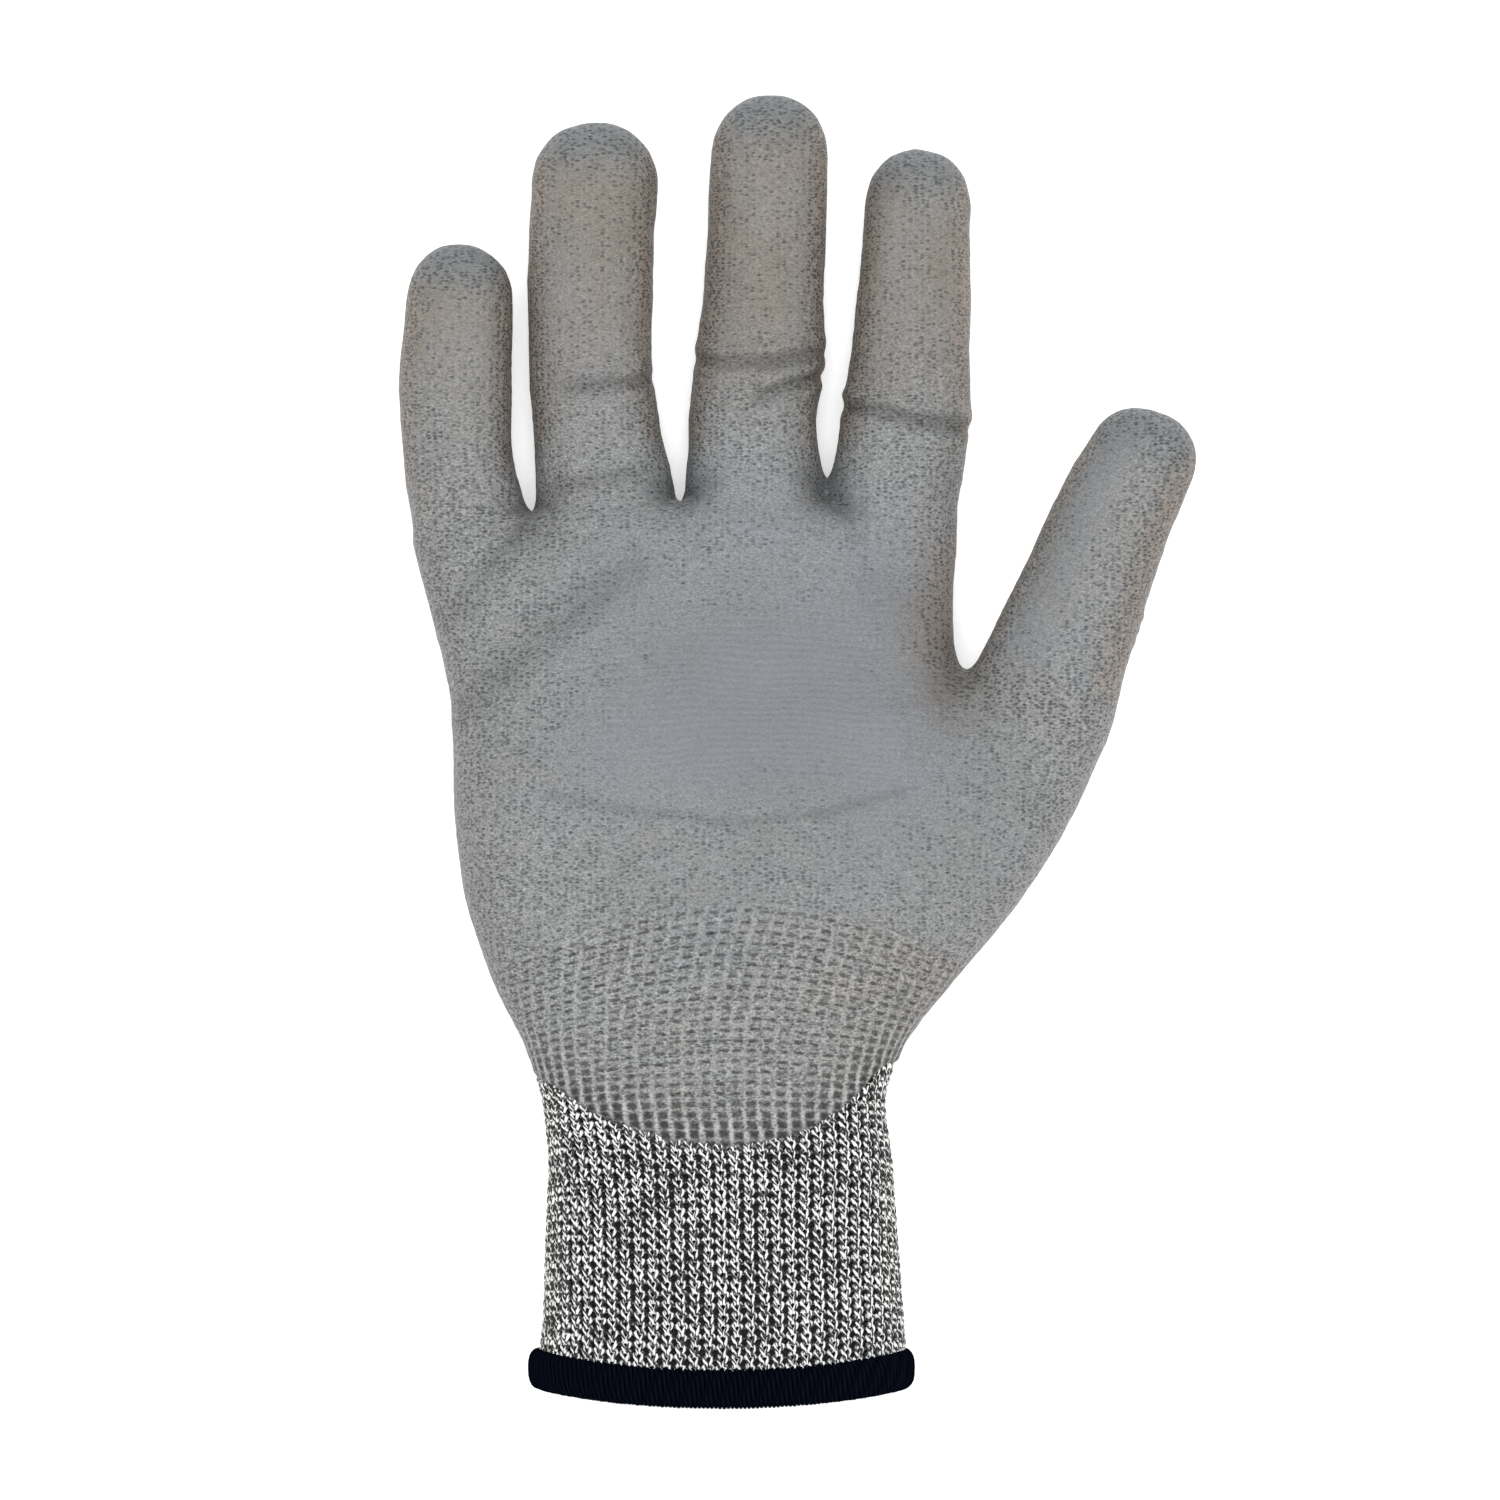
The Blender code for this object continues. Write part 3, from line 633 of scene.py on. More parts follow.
def skin_fields(points, normals):
    """Per point: the values for shading, the digit, how far the skin dives and the height on the digit."""
    x, y, z = points.T
    count = len(points)
    up = normals[:, 2]
    owner = digit_of(points)
    body = owner == ""
    cx, a, cz, b = body_section(y)
    turn = np.arctan2(signed_power((x - cx) / a, 1 / PALM_SQUARENESS), signed_power((z - cz) / b, 1 / PALM_SQUARENESS))
    k = np.clip((np.minimum(y, ARC_Y[-1]) - ARC_Y[0]) / BODY_STEP, 0, len(ARC_Y) - 1.001)
    col = (turn + math.pi) / (2 * math.pi) * (len(ARC_TURN) - 1)
    i, j = k.astype(int), np.clip(col.astype(int), 0, len(ARC_TURN) - 2)
    f, g = k - i, col - j
    above = np.minimum(i + 1, len(ARC_Y) - 1)
    low = ARCS[i, j] * (1 - g) + ARCS[i, j + 1] * g
    high = ARCS[above, j] * (1 - g) + ARCS[above, j + 1] * g
    arc = low * (1 - f) + high * f
    half = ARCS[i, -1] * (1 - f) + ARCS[above, -1] * f
    bend = ramp(0, 0.4, (z - cz) / b)
    from_centre = (x - COARSE_CENTRE_X) ** 2
    stretch = np.round(wale_stretch(y, half), 2)
    grid = np.linspace(-1, 1, 401)
    wale = np.empty(count)
    for level in np.unique(stretch):
        chosen = stretch == level
        curve = level * grid + (1 - level) * grid**3
        wale[chosen] = np.interp((arc / half)[chosen], curve, grid) * WALES / 2

    rise_share = (z - cz) / b
    coat = ramp(COAT_BACK_EDGE - 0.5, COAT_BACK_EDGE + 0.5, z + 0.5 * noise(points, 2.2, 1))
    tip_near, stall, finger, inner = np.zeros((4, count))
    side_share = np.abs((x - cx) / a)
    for name, limb in LIMBS.items():
        chosen = owner == name
        s, side, rise = limb.local(points[chosen])
        centre, half_width, height, half_thick = limb.section(s)
        across = (side - centre) / half_width
        share = (rise - height) / half_thick
        tip, _, stall_start = DIGITS[name][2:5]
        wrapped = ramp(tip - 10, tip - 2.5, s)
        ragged = 0.05 * noise(points[chosen], 2.2, 1)
        film = ramp(-0.46, -0.36, share + 1.3 * wrapped + ragged)
        near = ramp(stall_start, stall_start + 9, s)
        coat[chosen] = coat[chosen] * (1 - near) + film * near
        tip_near[chosen] = ramp(tip - 13, tip - 1, s)
        side_share[chosen] = np.abs(across)
        stall[chosen] = near
        if name == "thumb":
            inner[chosen] = 0.45 * ramp(0.5, -0.3, across)
        finger[chosen] = ramp(2, 34, s) * (0.25 if name == "thumb" else 1)
        rise_share[chosen] = share
    to_edge = y - film_edge_y(x) + 0.5 * noise(points, 2.4, 2)
    coat = np.where(body, coat * ramp(-1.3, 1.3, to_edge), coat)
    under = np.where(z > COAT_BACK_EDGE, ramp(1.2, -1.2, to_edge), ramp(1.5, -1.5, y - BACK_DIVE_Y))
    dashes = ramp(1.5, -3, y + 29.0 + 0.0055 * from_centre)
    dashes = np.where(body & (rise_share > -0.2), dashes, 0)
    near = ramp(0.55, 1, side_share) * ramp(-0.6, 0.2, rise_share)
    palm_side = ramp(0.8, 1, np.abs((x - cx) / a)) * 0.5
    side_near = np.where(body, palm_side, near * stall + palm_side * (1 - stall))
    off_centre = np.hypot((x + 4) / 47, (y - 8) / 40) + 0.22 * noise(points, 17, 9)
    middle = np.clip((1.45 - off_centre) / 1.3, 0, 1) * ramp(0.1, 0.6, up)
    calm = (0.22 + inner) * ramp(0.3, 0.9, up)
    warm = 0.9 * bell(np.hypot((x - 29) / 7, (y - 24) / 16))
    warm = 1.4 * warm + 0.42 * dashes * ramp(-20, 28, x)
    # Painted shade: darker in the creases, along the bands of the folds and in the corners between the stalls.
    shade = np.zeros(count)
    for line, width, *_ in CREASES[:5]:
        d = line_distance(x, y, line)[0]
        shade += 0.7 * bell(d / (1.1 * width)) * ramp(0, 0.4, up)
    for line, width, strength in BANDS:
        d = line_distance(x, y, line)[0] + 0.8 * noise(points, 5, 4)
        shade += strength * bell(d / width) * ramp(0, 0.5, up)
    for corner_x, corner_y, strength in SHADE_CORNERS:
        shade += strength * bell(np.hypot(x - corner_x, y - corner_y) / SHADE_CORNER_RADIUS)
    fields = dict(
        wale=wale, course=course_of(y + arch(x, y) * bend),
        coat=coat, dashes=dashes, tip_near=tip_near, side_near=side_near, finger=finger,
        middle=np.where(body, middle, calm * stall + middle * (1 - stall)),
        warm=np.clip(warm + side_near * np.maximum(finger, 0.7 * stall), 0, 1),
        shade=np.clip(shade, 0, 1),
        to_edge=np.where(body, to_edge, 60),
        knit_u=x + np.sign(x - cx) * z,
        knit_v=y + 0.0012 * from_centre * bend,
    )
    return fields, owner, np.where(body, under, 0), rise_share


def split_skin(points, faces, normals, fields, chosen, name, digit):
    """A piece of the skin made of the chosen faces, with the whole skin's normals."""
    used, index = np.unique(faces[chosen], return_inverse=True)
    index = index.reshape(-1, 4)
    obj = mesh_object(name, points[used], index)
    own = {key: values[used] for key, values in fields.items()}
    if digit:
        own["knit_u"], own["knit_v"] = limb_knit(digit, points[used])
    add_attributes(obj, **own)
    rest = obj.data.attributes.new("rest", "FLOAT_VECTOR", "POINT")
    rest.data.foreach_set("vector", points[used].astype(np.float32).ravel())
    obj.data.normals_split_custom_set_from_vertices(normals[used].tolist())
    return obj


# ---- node helpers
class Value:
    """A node's output, for plain arithmetic."""

    def __init__(self, graph, socket):
        self.graph, self.socket = graph, socket

    def __add__(self, other):
        return self.graph.math("ADD", self, other)

    def __sub__(self, other):
        return self.graph.math("SUBTRACT", self, other)

    def __rsub__(self, other):
        return self.graph.math("SUBTRACT", other, self)

    def __mul__(self, other):
        return self.graph.math("MULTIPLY", self, other)

    __radd__, __rmul__ = __add__, __mul__


class Graph:
    """Short names for building a material's nodes."""

    def __init__(self, name):
        self.material = bpy.data.materials.new(name)
        self.material.use_nodes = True
        self.tree = self.material.node_tree
        self.tree.nodes.clear()
        out = self.make("OutputMaterial")
        self.shader = self.make("BsdfPrincipled")
        self.tree.links.new(self.shader.outputs[0], out.inputs[0])

    def feed(self, socket, value):
        if isinstance(value, Value):
            self.tree.links.new(value.socket, socket)
        elif socket.type == "RGBA":
            socket.default_value = (*value, 1)
        else:
            socket.default_value = value

    def make(self, kind, inputs=(), **settings):
        """A new node with these settings, its inputs fed by name or number."""
        made = self.tree.nodes.new("ShaderNode" + kind)
        for key, value in settings.items():
            setattr(made, key, value)
        for key, value in dict(inputs).items():
            self.feed(made.inputs[key], value)
        return made

    def get(self, kind, inputs=(), output=0, **settings):
        """One output of a new node."""
        return Value(self, self.make(kind, inputs, **settings).outputs[output])

    def attribute(self, name, output="Fac"):
        return self.get("Attribute", output=output, attribute_name=name)

    def math(self, operation, *values):
        return self.get("Math", enumerate(values), operation=operation)

    def wave(self, value):
        """0 at each whole number and 1 halfway between two."""
        return self.math("PINGPONG", value, 0.5) * 2.0

    def step(self, low, high, value):
        inputs = {"Value": value, "From Min": low, "From Max": high}
        return self.get("MapRange", inputs, interpolation_type="SMOOTHSTEP")

    def vector(self, x, y, z=0.0):
        return self.get("CombineXYZ", enumerate((x, y, z)))

    def split(self, colour):
        made = self.make("SeparateColor", {0: colour})
        return [Value(self, socket) for socket in made.outputs]

    def noise(self, vector, scale, detail=2.0, rough=0.5):
        inputs = {"Vector": vector, "Scale": scale, "Detail": detail, "Roughness": rough}
        return self.get("TexNoise", inputs, "Fac")

    def mix(self, share, a, b):
        return self.get("Mix", {"Factor": share, 6: a, 7: b}, 2, data_type="RGBA")

    def scaled(self, vector, scale):
        return self.get("VectorMath", {0: vector, "Scale": scale}, operation="SCALE")

    def stretched(self, vector, scales):
        return self.get("VectorMath", {0: vector, 1: scales}, operation="MULTIPLY")

    def object_mm(self):
        return self.scaled(self.get("TexCoord", output="Object"), 1000)

    def bump(self, height, distance, strength):
        return self.get("Bump", {"Strength": strength, "Distance": distance, "Height": height})

    def finish(self, colour, roughness, normal=None, specular=0.5):
        inputs = self.shader.inputs
        self.feed(inputs["Base Color"], colour)
        self.feed(inputs["Roughness"], roughness)
        if normal:
            self.feed(inputs["Normal"], normal)
        inputs["Specular IOR Level"].default_value = specular
        return self.material


FILM_GREY = (0.171, 0.174, 0.174)
FILM_COOL = (0.152, 0.164, 0.179)
FILM_FINGER = (0.157, 0.142, 0.124)
FILM_STAIN = (0.171, 0.162, 0.151)
FILM_SIDE = (0.168, 0.139, 0.115)
FILM_TIP = (0.117, 0.126, 0.132)
FILM_DARK = (0.036, 0.041, 0.045)
CELL_GREY = (0.052, 0.052, 0.048)
KNIT_WHITE = (0.6, 0.6, 0.61)
KNIT_BLACK = (0.02, 0.021, 0.02)


def fine_knit(g, u, v, pitch_u, pitch_v):
    """Height from 0 to 1 of plain knit stitches: upright columns of nested V shapes."""
    across = g.wave(u * (1 / pitch_u))
    leg = g.wave(v * (1 / pitch_v) + across * 0.55)
    column = 1.0 - g.math("POWER", across, 3)
    return g.step(0.12, 0.85, leg) * (column * 0.75 + 0.25)


def film_colour(g, place, cloud):
    """Cool in the palm, warm on the fingers, brown at their sides and dark at their tips."""
    names = ("middle", "warm", "finger", "tip_near", "side_near")
    middle, warm, finger, tip, side = map(g.attribute, names)
    cool = g.step(0, 1.1, middle * 0.95 + cloud)
    colour = g.mix(cool, FILM_GREY, FILM_COOL)
    streak = g.noise(g.stretched(place, (0.11, 0.035, 0.11)), 1, 3, 0.6)
    warm_clouds = g.step(0.32, 0.62, streak)
    colour = g.mix(finger * (warm_clouds * 0.55 + 0.45), colour, FILM_FINGER)
    stain = g.step(0.5, 0.72, g.noise(place, 0.07, 3)) * (0.45 - middle * 0.25)
    colour = g.mix(stain, colour, FILM_STAIN)
    colour = g.mix(tip * 0.9, colour, FILM_TIP)
    brown = (warm * 0.55 + side * side * 0.3) * (1.0 - tip * 0.5)
    return g.mix(g.math("MINIMUM", brown * 1.2, 1), colour, FILM_SIDE)


def open_cells(g, place, to_edge, dashes):
    """Open cells of the knit, seen through the thin film: short dashes that grow tall near its edge."""
    wale, course = g.attribute("wale"), g.attribute("course") + CELL_SHIFT
    column, row = g.math("FLOOR", wale), g.math("ROUND", course)
    inputs = {"Vector": g.vector(column, row)}
    chance = g.get("TexWhiteNoise", inputs, "Color", noise_dimensions="2D")
    some, slip, turn = (part - 0.5 for part in g.split(chance))
    near_lip = g.step(13, 1, to_edge)
    ragged = (g.noise(place, 1.3, 3) - 0.5) * 0.34
    du = g.math("ABSOLUTE", wale - column - 0.5 + slip * 0.1)
    dv = g.math("ABSOLUTE", course - row + turn * 0.18)
    across = g.step(0.42, 0.14, du + ragged)
    hole = across * g.step(near_lip * 0.36 + 0.22, near_lip * 0.16, dv + ragged * 0.6)
    depth = some * 0.4 + 0.86 + near_lip * 0.35
    dash = hole * dashes * g.math("MINIMUM", depth, 1)
    stitch_light = g.step(0.24, 0.46, du) * (near_lip * 0.5 + 0.14)
    return dash, stitch_light


def skin_material(name):
    """Film over knit, mixed by coat, so that the film's edge has no step in colour."""
    g = Graph(name)
    names = ("knit_u", "knit_v", "coat", "dashes", "middle", "warm", "finger", "tip_near", "side_near", "to_edge")
    u, v, coat, dashes, middle, warm, finger, tip, side, to_edge = map(g.attribute, names)
    place = g.attribute("rest", "Vector")
    broad = g.noise(place, 0.035, 3)
    patch = g.noise(place, 0.16, 2)
    mottle = g.noise(place, 0.85, 3, 0.7) - 0.5
    grain = g.noise(place, 2.2, 2, 0.6)
    fibre = g.noise(g.stretched(place, (0.8, 1.9, 0.8)), 1.9, 3, 0.7)
    cloud = (broad - 0.5) * 1.3 + (patch - 0.5) * 0.5
    colour = film_colour(g, place, cloud)

    # specks where the knit shows through the film
    bare_share = g.step(1, 0.1, middle + cloud * 0.5)
    inputs = {"Vector": g.stretched(place, (0.84, 1.7, 0.84)), "Scale": 1, "Randomness": 0.75}
    cells = g.make("TexVoronoi", inputs)
    spot = g.step(0.56, 0.16, Value(g, cells.outputs["Distance"]))
    thick = g.split(Value(g, cells.outputs["Color"]))[0]
    density = tip * 0.6 + side * 0.74 - finger * 0.24 + bare_share * 0.82 + warm * 0.2 + patch - 0.5
    shown = g.step(-0.15, 0.55, density - thick * 0.8)
    speck = spot * shown
    strength = tip * 0.25 + side * 0.2 + 0.72
    colour = g.mix(g.math("MINIMUM", speck * strength, 0.92), colour, FILM_DARK)

    # faint lines of the courses in the palm and of the wales on the fingers
    courses = g.wave((v + broad * 6) * (1 / 1.22))
    wales = g.wave(u * (1 / 1.3))
    lines = courses * middle * 0.2 + wales * side * 0.26
    calm = 1.0 - g.math("MAXIMUM", middle * 0.78, finger * (0.46 - side * 0.46))
    grainy = ((grain - 0.5) * 1.8 + (fibre - 0.5) * 2.8 + mottle * 0.6) * calm
    level = grainy + 1.0 - lines * 0.6 + (broad - 0.5) * 0.3 + bare_share * shown * 0.1
    # The shade attribute darkens the film: painted shade in the creases, folds and corners.
    level = level * (1.0 - g.attribute("shade") * 0.42)

    dash, stitch_light = open_cells(g, place, to_edge, dashes)
    cell_colour = g.mix(g.step(7, 1, to_edge), CELL_GREY, KNIT_BLACK)
    colour = g.mix(dash, colour, cell_colour)
    salt = (g.noise(place, 2, 3, 0.75) - 0.5) * 1.9
    level = level + dashes * (stitch_light + mottle * 0.8 + salt)
    lip_dark = g.step(2.6, 0, to_edge) * dashes
    level = level * (1.0 - lip_dark * 0.3)
    film = g.scaled(colour, g.math("MAXIMUM", level, 0.15))

    # bare knit
    stitch = fine_knit(g, u, v, 1.55, 1.3)
    melange = g.noise(g.vector(u * 1.4, v * 3.4, broad * 3), 1.25, 2.5, 0.65)
    yarn = g.mix(g.step(0.35, 0.58, melange), (0.07, 0.07, 0.07), KNIT_WHITE)
    knit = g.mix(stitch, KNIT_BLACK, yarn)
    # Below the film's edge the skin runs under the cuff yarn and turns near black: painted shade seen between the
    # loops.
    bare = g.mix(g.step(0.4, 1.6, to_edge * -1), knit, (0.018, 0.019, 0.018))

    relief_film = fibre - speck * 0.75 - lines * 0.55 - dash * 1.6 + mottle * dashes * 1.5
    relief_knit = stitch * 3.0 + melange * 0.5
    height = g.get("Mix", {"Factor": coat, 2: relief_knit, 3: relief_film}, data_type="FLOAT")
    roughness = 0.86 - coat * (grain * 0.12 + 0.26)
    return g.finish(g.mix(coat, bare, film), roughness, g.bump(height, 0.00026, 0.9), 0.3)


def yarn_material(name):
    """Pale and black filaments twisted together, with painted shade where the loop lies lowest."""
    g = Graph(name)
    run, turn, key, deep, side = map(g.attribute, ("run", "turn", "key", "deep", "side"))
    ply = g.wave(run * 2.1 + turn + key * 5)
    speck = g.noise(g.vector(run * 3, turn * 2, key * 40), 1.6, 2, 0.7)
    streak = g.noise(g.vector(run * 0.16, key * 60), 1, 2, 0.6)
    light = ply * 0.45 + speck * 0.62 - (streak - 0.5) * 0.5
    dark = g.step(0.66, 0.45, light - side * 0.06)
    tone = g.noise(g.vector(run * 0.35, key * 30), 1, 2)
    pale = g.mix(tone, (0.42, 0.42, 0.43), (0.92, 0.92, 0.94))
    pale = g.mix(side * 0.5, pale, (0.86, 0.83, 0.77))
    colour = g.mix(dark, pale, (0.02, 0.022, 0.02))
    # painted shade where the loop lies lowest
    colour = g.mix(deep * (side * 0.1 + 0.84), colour, (0.01, 0.011, 0.01))
    return g.finish(colour, speck * 0.3 + 0.6, g.bump(ply + speck, 0.00012, 0.7), 0.25)


def hem_material(name):
    g = Graph(name)
    ply = g.wave(g.attribute("run") * 1.6 + g.attribute("turn"))
    fuzz = g.noise(g.object_mm(), 2.2, 3, 0.7)
    colour = g.mix(ply * fuzz, (0.0006, 0.0009, 0.0022), (0.005, 0.0068, 0.014))
    return g.finish(colour, fuzz * 0.2 + 0.75, g.bump(ply + fuzz, 0.0001, 0.6), 0)


def lining_material(name):
    g = Graph(name)
    u, v = g.attribute("knit_u"), g.attribute("knit_v")
    stitch = fine_knit(g, u, v, 2.6, 1.8)
    speck = g.noise(g.vector(u * 1.2, v * 2.6), 1.6, 3, 0.7)
    # Dark colours throughout: painted shade inside the glove.
    pale = g.mix(g.step(0.4, 0.62, speck), (0.03, 0.03, 0.03), (0.22, 0.22, 0.22))
    colour = g.mix(stitch, (0.008, 0.008, 0.008), pale)
    return g.finish(colour, speck * 0.15 + 0.8, g.bump(stitch * 2.0 + speck, 0.0002, 0.8))


def elastic_material(name):
    g = Graph(name)
    place = g.object_mm()
    fuzz = g.noise(place, 3, 3, 0.7)
    inputs = {"Vector": place, "Scale": 0.9, "Distortion": 1.5}
    ring = g.get("TexWave", inputs, "Fac", wave_type="BANDS", bands_direction="DIAGONAL")
    colour = g.mix(ring, (0.4, 0.39, 0.37), (0.68, 0.67, 0.63))
    colour = g.mix(fuzz * 0.4, colour, (0.3, 0.29, 0.28))
    return g.finish(colour, fuzz * 0.25 + 0.5, g.bump(ring + fuzz, 0.00008, 0.6))


def floor_material(name):
    g = Graph(name)
    cloud = g.noise(g.object_mm(), 0.01, 2)
    g.feed(g.shader.inputs["Emission Color"], (1, 1, 1))
    g.feed(g.shader.inputs["Emission Strength"], 0.28)
    return g.finish(g.mix(cloud, (0.89, 0.89, 0.89), (0.92, 0.92, 0.92)), 0.95, specular=0.05)


# ---- build the skin
FILM = skin_material("coating_film")
KNIT = skin_material("yarn_knit")


def build_skin():
    points, faces = remeshed_skin()
    points, faces = subdivided(smoothed(points, edges_of(faces)), faces)
    normals = vertex_normals(points, faces)
    points = points + normals * SKIN_LIFT
    fields, owner, dive, rise_share = skin_fields(points, normals)
    film = FILM_PROUD * (0.3 + 0.7 * ramp(0, 16, fields["to_edge"]))
    waffle = 0.5 - 0.5 * np.cos(2 * math.pi * fields["wale"])
    waffle = waffle * (0.5 + 0.5 * np.cos(2 * math.pi * (fields["course"] + CELL_SHIFT)))
    out = relief(points, normals) + film * fields["coat"] - DIVE_DEPTH * dive
    out += 0.13 * (1 - waffle) * fields["dashes"] * ramp(26, 4, fields["to_edge"]) * fields["coat"]
    for name, limb in LIMBS.items():
        chosen = owner == name
        s = limb.local(points[chosen])[0]
        out[chosen] += knuckles(name, s, rise_share[chosen])
    points = points + normals * out[:, None]
    points[:, 2] = np.maximum(points[:, 2], 0.02)
    normals = vertex_normals(points, faces)

    middle = points[faces].mean(axis=1)
    coat = fields["coat"][faces].mean(axis=1)
    kept = middle[:, 1] > CUFF_EDGE_Y
    layers = (("coating", FILM, "coating_film", kept & (coat > 0.5)), ("knit", KNIT, "yarn_knit", kept & (coat <= 0.5)))
    face_owner = digit_of(middle)
    body_faces = face_owner == ""
    palm_faces = middle[:, 1] >= WRIST_SEAM_Y
    jobs = [
        ("palm", "", body_faces & palm_faces, ()),
        ("wrist", "", body_faces & ~palm_faces, ("palm", "cuff", WRIST_START, WRIST_END)),
    ]
    for name, limb in LIMBS.items():
        segment = np.searchsorted(DIGITS[name][5], limb.local(middle)[0])
        before = "palm"
        for k, (part, ends) in enumerate(zip(segments(name), DIGITS[name][6])):
            body = f"{name}_{part}"
            start, end = (tuple((limb.origin + limb.along * s) * MM) for s in ends)
            jobs.append((body, name, (face_owner == name) & (segment == k), (before, body, start, end)))
            before = body
    for label, digit, chosen, span in jobs:
        for kind, material, slot, layer in layers:
            picked = chosen & layer
            if not picked.any():
                continue
            piece = split_skin(points, faces, normals, fields, picked, f"{label}_skin_{kind}", digit)
            dress(piece, material, slot)
            if label == "palm":
                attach(piece, "palm")
            else:
                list(span)
                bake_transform(piece)
            if label != "wrist":
                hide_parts(f"{label}_{kind}")


# ---- knitted cuff
def tube_points(path, outward, radius, sides):
    """Points of a round tube along a closed path, ring by ring."""
    along = unit(np.roll(path, -1, axis=0) - np.roll(path, 1, axis=0))
    across = unit(np.cross(along, outward))
    rise = np.cross(across, along)
    angle = turns(sides)[None, :, None]
    ring = across[:, None, :] * np.cos(angle) + rise[:, None, :] * np.sin(angle)
    return (path[:, None, :] + ring * radius).reshape(-1, 3)


def tube_object(name, paths, radius, sides, **values):
    """Closed yarns as one object, with attributes that have one value for each path point."""
    parts = []
    for path, outward in paths:
        faces = grid_faces(len(path), sides, close_rows=True)[:, ::-1]
        parts.append((tube_points(path, outward, radius, sides), faces))
    obj = mesh_object(name, *joined(parts))
    turn = np.tile(np.abs(np.linspace(-1, 1, sides)), sum(len(path) for path, _ in paths))
    spread = {key: np.repeat(value, sides) for key, value in values.items()}
    add_attributes(obj, turn=turn, **spread)
    return obj


def tube_normal(y, turn):
    """Outward direction of the palm and cuff tube."""
    _, a, _, b = body_section(y)
    c, s = np.cos(turn), np.sin(turn)
    nx = signed_power(c, 2 - PALM_SQUARENESS) / a
    nz = signed_power(s, 2 - PALM_SQUARENESS) / b
    return unit(np.stack([nx, 0 * nx, nz], -1))


def sag(x, y):
    """How far the hem end of the knit hangs below its two sides."""
    cx, a = body_section(y)[:2]
    return CUFF_EDGE_SAG * (1 - np.clip((x - cx) / a, -1, 1) ** 2)


def row_path(course, first):
    """One course as a closed looped yarn: its points, normals, painted shade where the loop lies lowest and nearness to
    the cuff's sides.
    """
    stitch = np.arange(WALES)[:, None]
    tau = turns(LOOP_STEPS)[None, :]
    shift = 0.05 * (hashed(stitch * 1.7, course) - 0.5)
    wale = stitch + 0.5 + tau / (2 * math.pi) + LOOP_LEAN * np.sin(2 * tau) + LOOP_NARROW * np.sin(tau) + shift
    wale = (wale - WALES / 2).ravel()
    course_at = course - LOOP_HEIGHT * np.cos(tau) + 0.1 * (hashed(stitch, course * 3.1) - 0.5)
    base_y = float(y_of_course(course))
    y = y_of_course(course_at.ravel())
    turn = wale_to_turn(base_y, wale)
    x = body_point(y, turn)[:, 0]
    front = ramp(0, 0.5, np.sin(turn))
    y = y - arch(x, y) * front
    y = y - sag(x, base_y) * ramp(CUFF_EDGE_Y + 34, CUFF_EDGE_Y, y)
    cx, a = body_section(base_y)[:2]
    depth = (-LOOP_DEPTH * np.cos(2 * tau) + 0 * stitch).ravel()
    depth = depth + 0.1 * (hashed(stitch * 2.3 + 0 * tau, course * 1.9).ravel() - 0.5)
    surface = body_point(y, turn)
    film_edge = np.where(surface[:, 2] > COAT_BACK_EDGE, film_edge_y(surface[:, 0]), BACK_DIVE_Y)
    rise = -0.25 + depth - SINK_DEPTH * ramp(-0.4, 2.6, y - film_edge)
    if first:
        rise = rise + 0.75
    normal = tube_normal(y, turn)
    path = surface + normal * rise[:, None]
    # painted shade where the loop lies lowest, at its heads and feet
    deep = ramp(0, 0.85, np.cos(2 * tau)) + 0 * stitch
    side = ramp(0.8, 1, np.abs(x - cx) / a)
    return path, normal, deep.ravel(), side


def build_cuff_knit():
    """Every course from the hem up to the film, in an upper and a lower piece."""
    courses = np.arange(course_of(CUFF_EDGE_Y - 0.9), course_of(CUFF_TOP_Y), 1.0)
    high = y_of_course(courses) >= CUFF_SPLIT_Y
    for label, chosen in (("upper", courses[high]), ("lower", courses[~high])):
        rows = [row_path(course, course == courses[0]) for course in chosen]
        paths, normals, deep, side = zip(*rows)
        count = WALES * LOOP_STEPS
        yield tube_object(
            f"cuff_yarn_{label}",
            list(zip(paths, normals)), YARN_RADIUS, LOOP_SIDES,
            run=np.tile(np.arange(count) / LOOP_STEPS * 2.0, len(rows)),
            key=np.repeat(hashed(chosen * 0.37, 2), count),
            deep=np.concatenate(deep),
            side=np.concatenate(side),
        )


def build_lining():
    """The inside of the glove, seen through the hand opening."""
    rings = body_rings(-120, 40, LINING_INSET)
    for ring in rings:
        share = ramp(-86, -118, ring[:, 1])
        ring[:, 1] -= sag(ring[:, 0], ring[:, 1].mean()) * share
    last = rings[-1]
    middle = last.mean(axis=0)
    for scale in (0.8, 0.5, 0.2, 0.02):
        rings.append(middle + (last - middle) * scale + np.array((0, 6.0 * (1 - scale**2), 0)))
    obj = mesh_object("knit_inside", np.concatenate(rings), grid_faces(len(rings), len(last)))
    u = np.concatenate([distances(ring) for ring in rings])
    add_attributes(obj, knit_u=u, knit_v=np.concatenate(rings)[:, 1])
    return obj


# ---- hem
def hem_frame(count):
    """Evenly spaced points round the hem's middle line, with its outward directions and its length."""
    y = HEM_TOP_Y - HEM_HEIGHT / 2
    dense = np.linspace(0, 2 * math.pi, HEM_SAMPLES)
    arc = distances(body_point(np.full(dense.shape, y), dense))
    turn = np.interp(np.linspace(0, arc[-1], count, endpoint=False), arc, dense)
    level = np.full(turn.shape, y)
    centre = body_point(level, turn)
    centre[:, 1] -= sag(centre[:, 0], y) - HEM_RISE
    return centre, tube_normal(level, turn), arc[-1]


def hem_section(angle):
    """Outward and lengthwise offsets round the hem's rounded section."""
    out = (HEM_OUT + HEM_IN) / 2 + signed_power(np.cos(angle), 0.8) * (HEM_OUT - HEM_IN) / 2
    down = signed_power(np.sin(angle), 0.72) * HEM_HEIGHT / 2
    return out, down


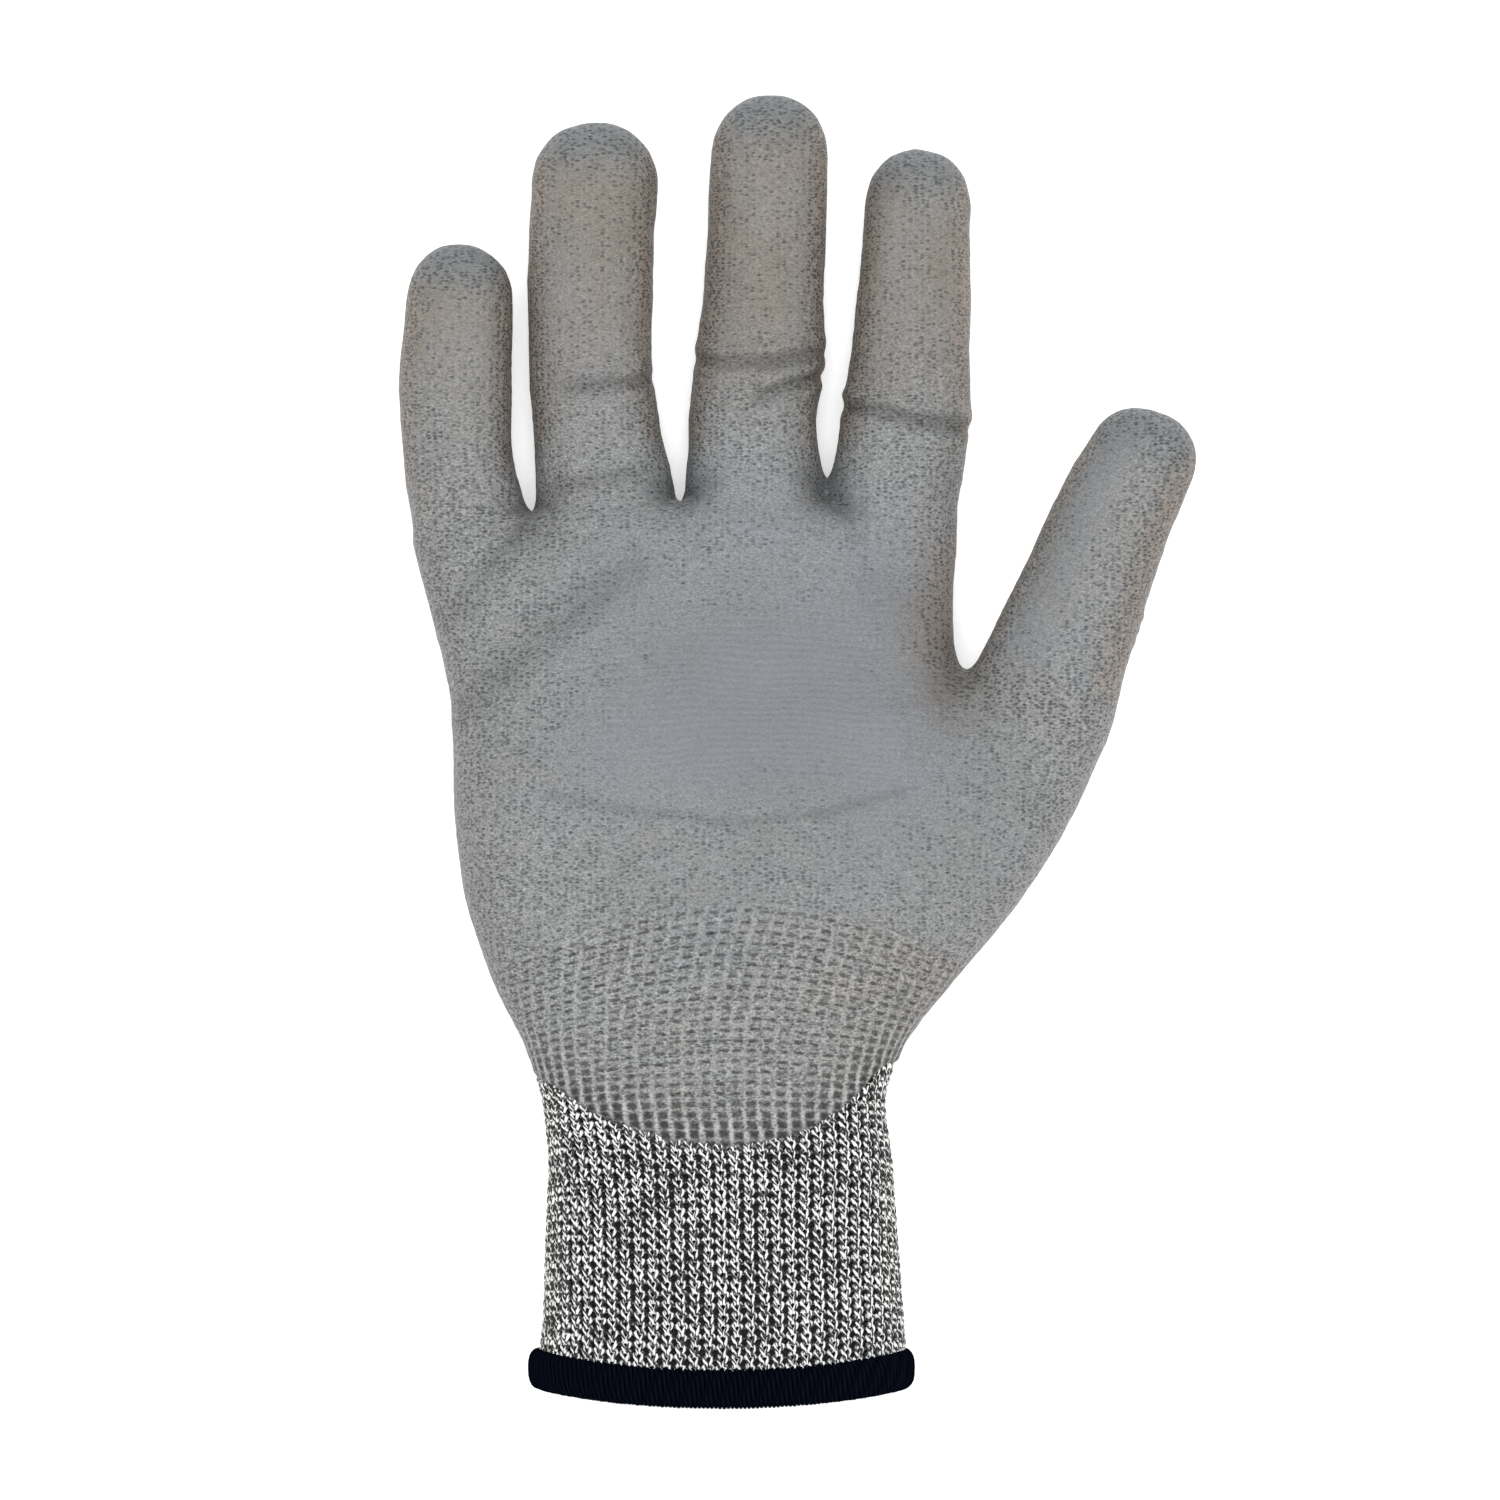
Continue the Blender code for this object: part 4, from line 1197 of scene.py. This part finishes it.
def build_hem():
    """The hem's core and the thread wound round it."""
    centre, normal, length = hem_frame(HEM_RINGS)
    angle = turns(HEM_SIDES)
    out, down = hem_section(angle)
    shrink = 1 - HEM_CORE_INSET / (HEM_HEIGHT / 2)
    points = centre[:, None, :] + normal[:, None, :] * (out * shrink)[None, :, None]
    points[:, :, 1] += down[None, :] * shrink
    core = mesh_object("hem_core", points.reshape(-1, 3), grid_faces(HEM_RINGS, HEM_SIDES, close_rows=True))
    add_attributes(core, run=np.repeat(np.arange(HEM_RINGS), HEM_SIDES), turn=np.tile(angle, HEM_RINGS))

    count = int(length / WRAP_PITCH) * WRAP_STEPS
    centre, normal = hem_frame(count)[:2]
    steps = np.arange(count)
    angle = 2 * math.pi * steps / WRAP_STEPS
    out, down = hem_section(angle)
    path = centre + normal * out[:, None]
    path[:, 1] += down
    radial = normal * np.cos(angle)[:, None]
    radial[:, 1] += np.sin(angle)
    radial = unit(radial)
    wobble = 0.1 * (hashed(np.floor(steps / WRAP_STEPS), 5) - 0.5)
    path = path + radial * wobble[:, None]
    wrap = tube_object("hem_wrapped_thread", [(path, radial)], WRAP_RADIUS, WRAP_SIDES, run=steps * 0.12)
    return core, wrap


# ---- assemble
build_skin()

upper, lower = build_cuff_knit()
YARN = yarn_material("cuff_yarn")
for piece in (upper, lower):
    dress(piece, YARN, "yarn_knit")
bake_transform(upper)
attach(lower, "cuff")
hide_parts("cuff_knit")

lining = build_lining()
dress(lining, lining_material("inner_knit"), "yarn_knit")
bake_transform(lining)

HEM = hem_material("hem_thread")
core, wrap = build_hem()
for piece in (core, wrap):
    dress(piece, HEM, "hem_thread")
    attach(piece, "cuff")
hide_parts("cuff_hem")

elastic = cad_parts["cuff_elastic"].data.materials
elastic.clear()
elastic.append(elastic_material("elastic_yarn"))


# ---- floor, lights, camera
FLOOR_SIZE = 3.0
FLOOR_Z = -0.0004


def add_light(name, place, size, power):
    """A round soft light that faces the glove."""
    data = bpy.data.lights.new(name, "AREA")
    data.shape = "DISK"
    data.size = size
    data.energy = power
    lamp = linked(bpy.data.objects.new(name, data))
    lamp.location = place
    lamp.rotation_mode = "QUATERNION"
    lamp.rotation_quaternion = (-Vector(place)).to_track_quat("-Z", "Y")


mesh = bpy.data.meshes.new("floor")
corners = [(x * FLOOR_SIZE, y * FLOOR_SIZE, FLOOR_Z) for x, y in ((-1, -1), (1, -1), (1, 1), (-1, 1))]
mesh.from_pydata(corners, [], [(0, 1, 2, 3)])
floor = linked(bpy.data.objects.new("floor", mesh))
floor.data.materials.append(floor_material("floor_pale"))

add_light("key", (-0.05, 0.35, 1.5), 0.8, 14)
add_light("fill", (0.2, -0.2, 1.4), 1, 8)
add_light("rim", (0.1, -1, 0.7), 0.8, 2)

world = bpy.data.worlds.new("studio")
world.use_nodes = True
background = world.node_tree.nodes["Background"]
background.inputs[0].default_value = (1, 1, 1, 1)
background.inputs[1].default_value = 0.85
bpy.context.scene.world = world
bpy.context.scene.view_settings.view_transform = "Standard"

SENSOR_WIDTH = 36.0
CAMERA_HEIGHT = 2.6
PICTURE_WIDTH = 0.28575
OBJECT_PLANE = 0.018
camera_data = bpy.data.cameras.new("camera")
camera_data.sensor_width = SENSOR_WIDTH
camera_data.lens = SENSOR_WIDTH * (CAMERA_HEIGHT - OBJECT_PLANE) / PICTURE_WIDTH
camera_data.clip_end = 20.0
camera = linked(bpy.data.objects.new("camera", camera_data))
camera.location = (-0.00876, -0.00019, CAMERA_HEIGHT)
bpy.context.scene.camera = camera
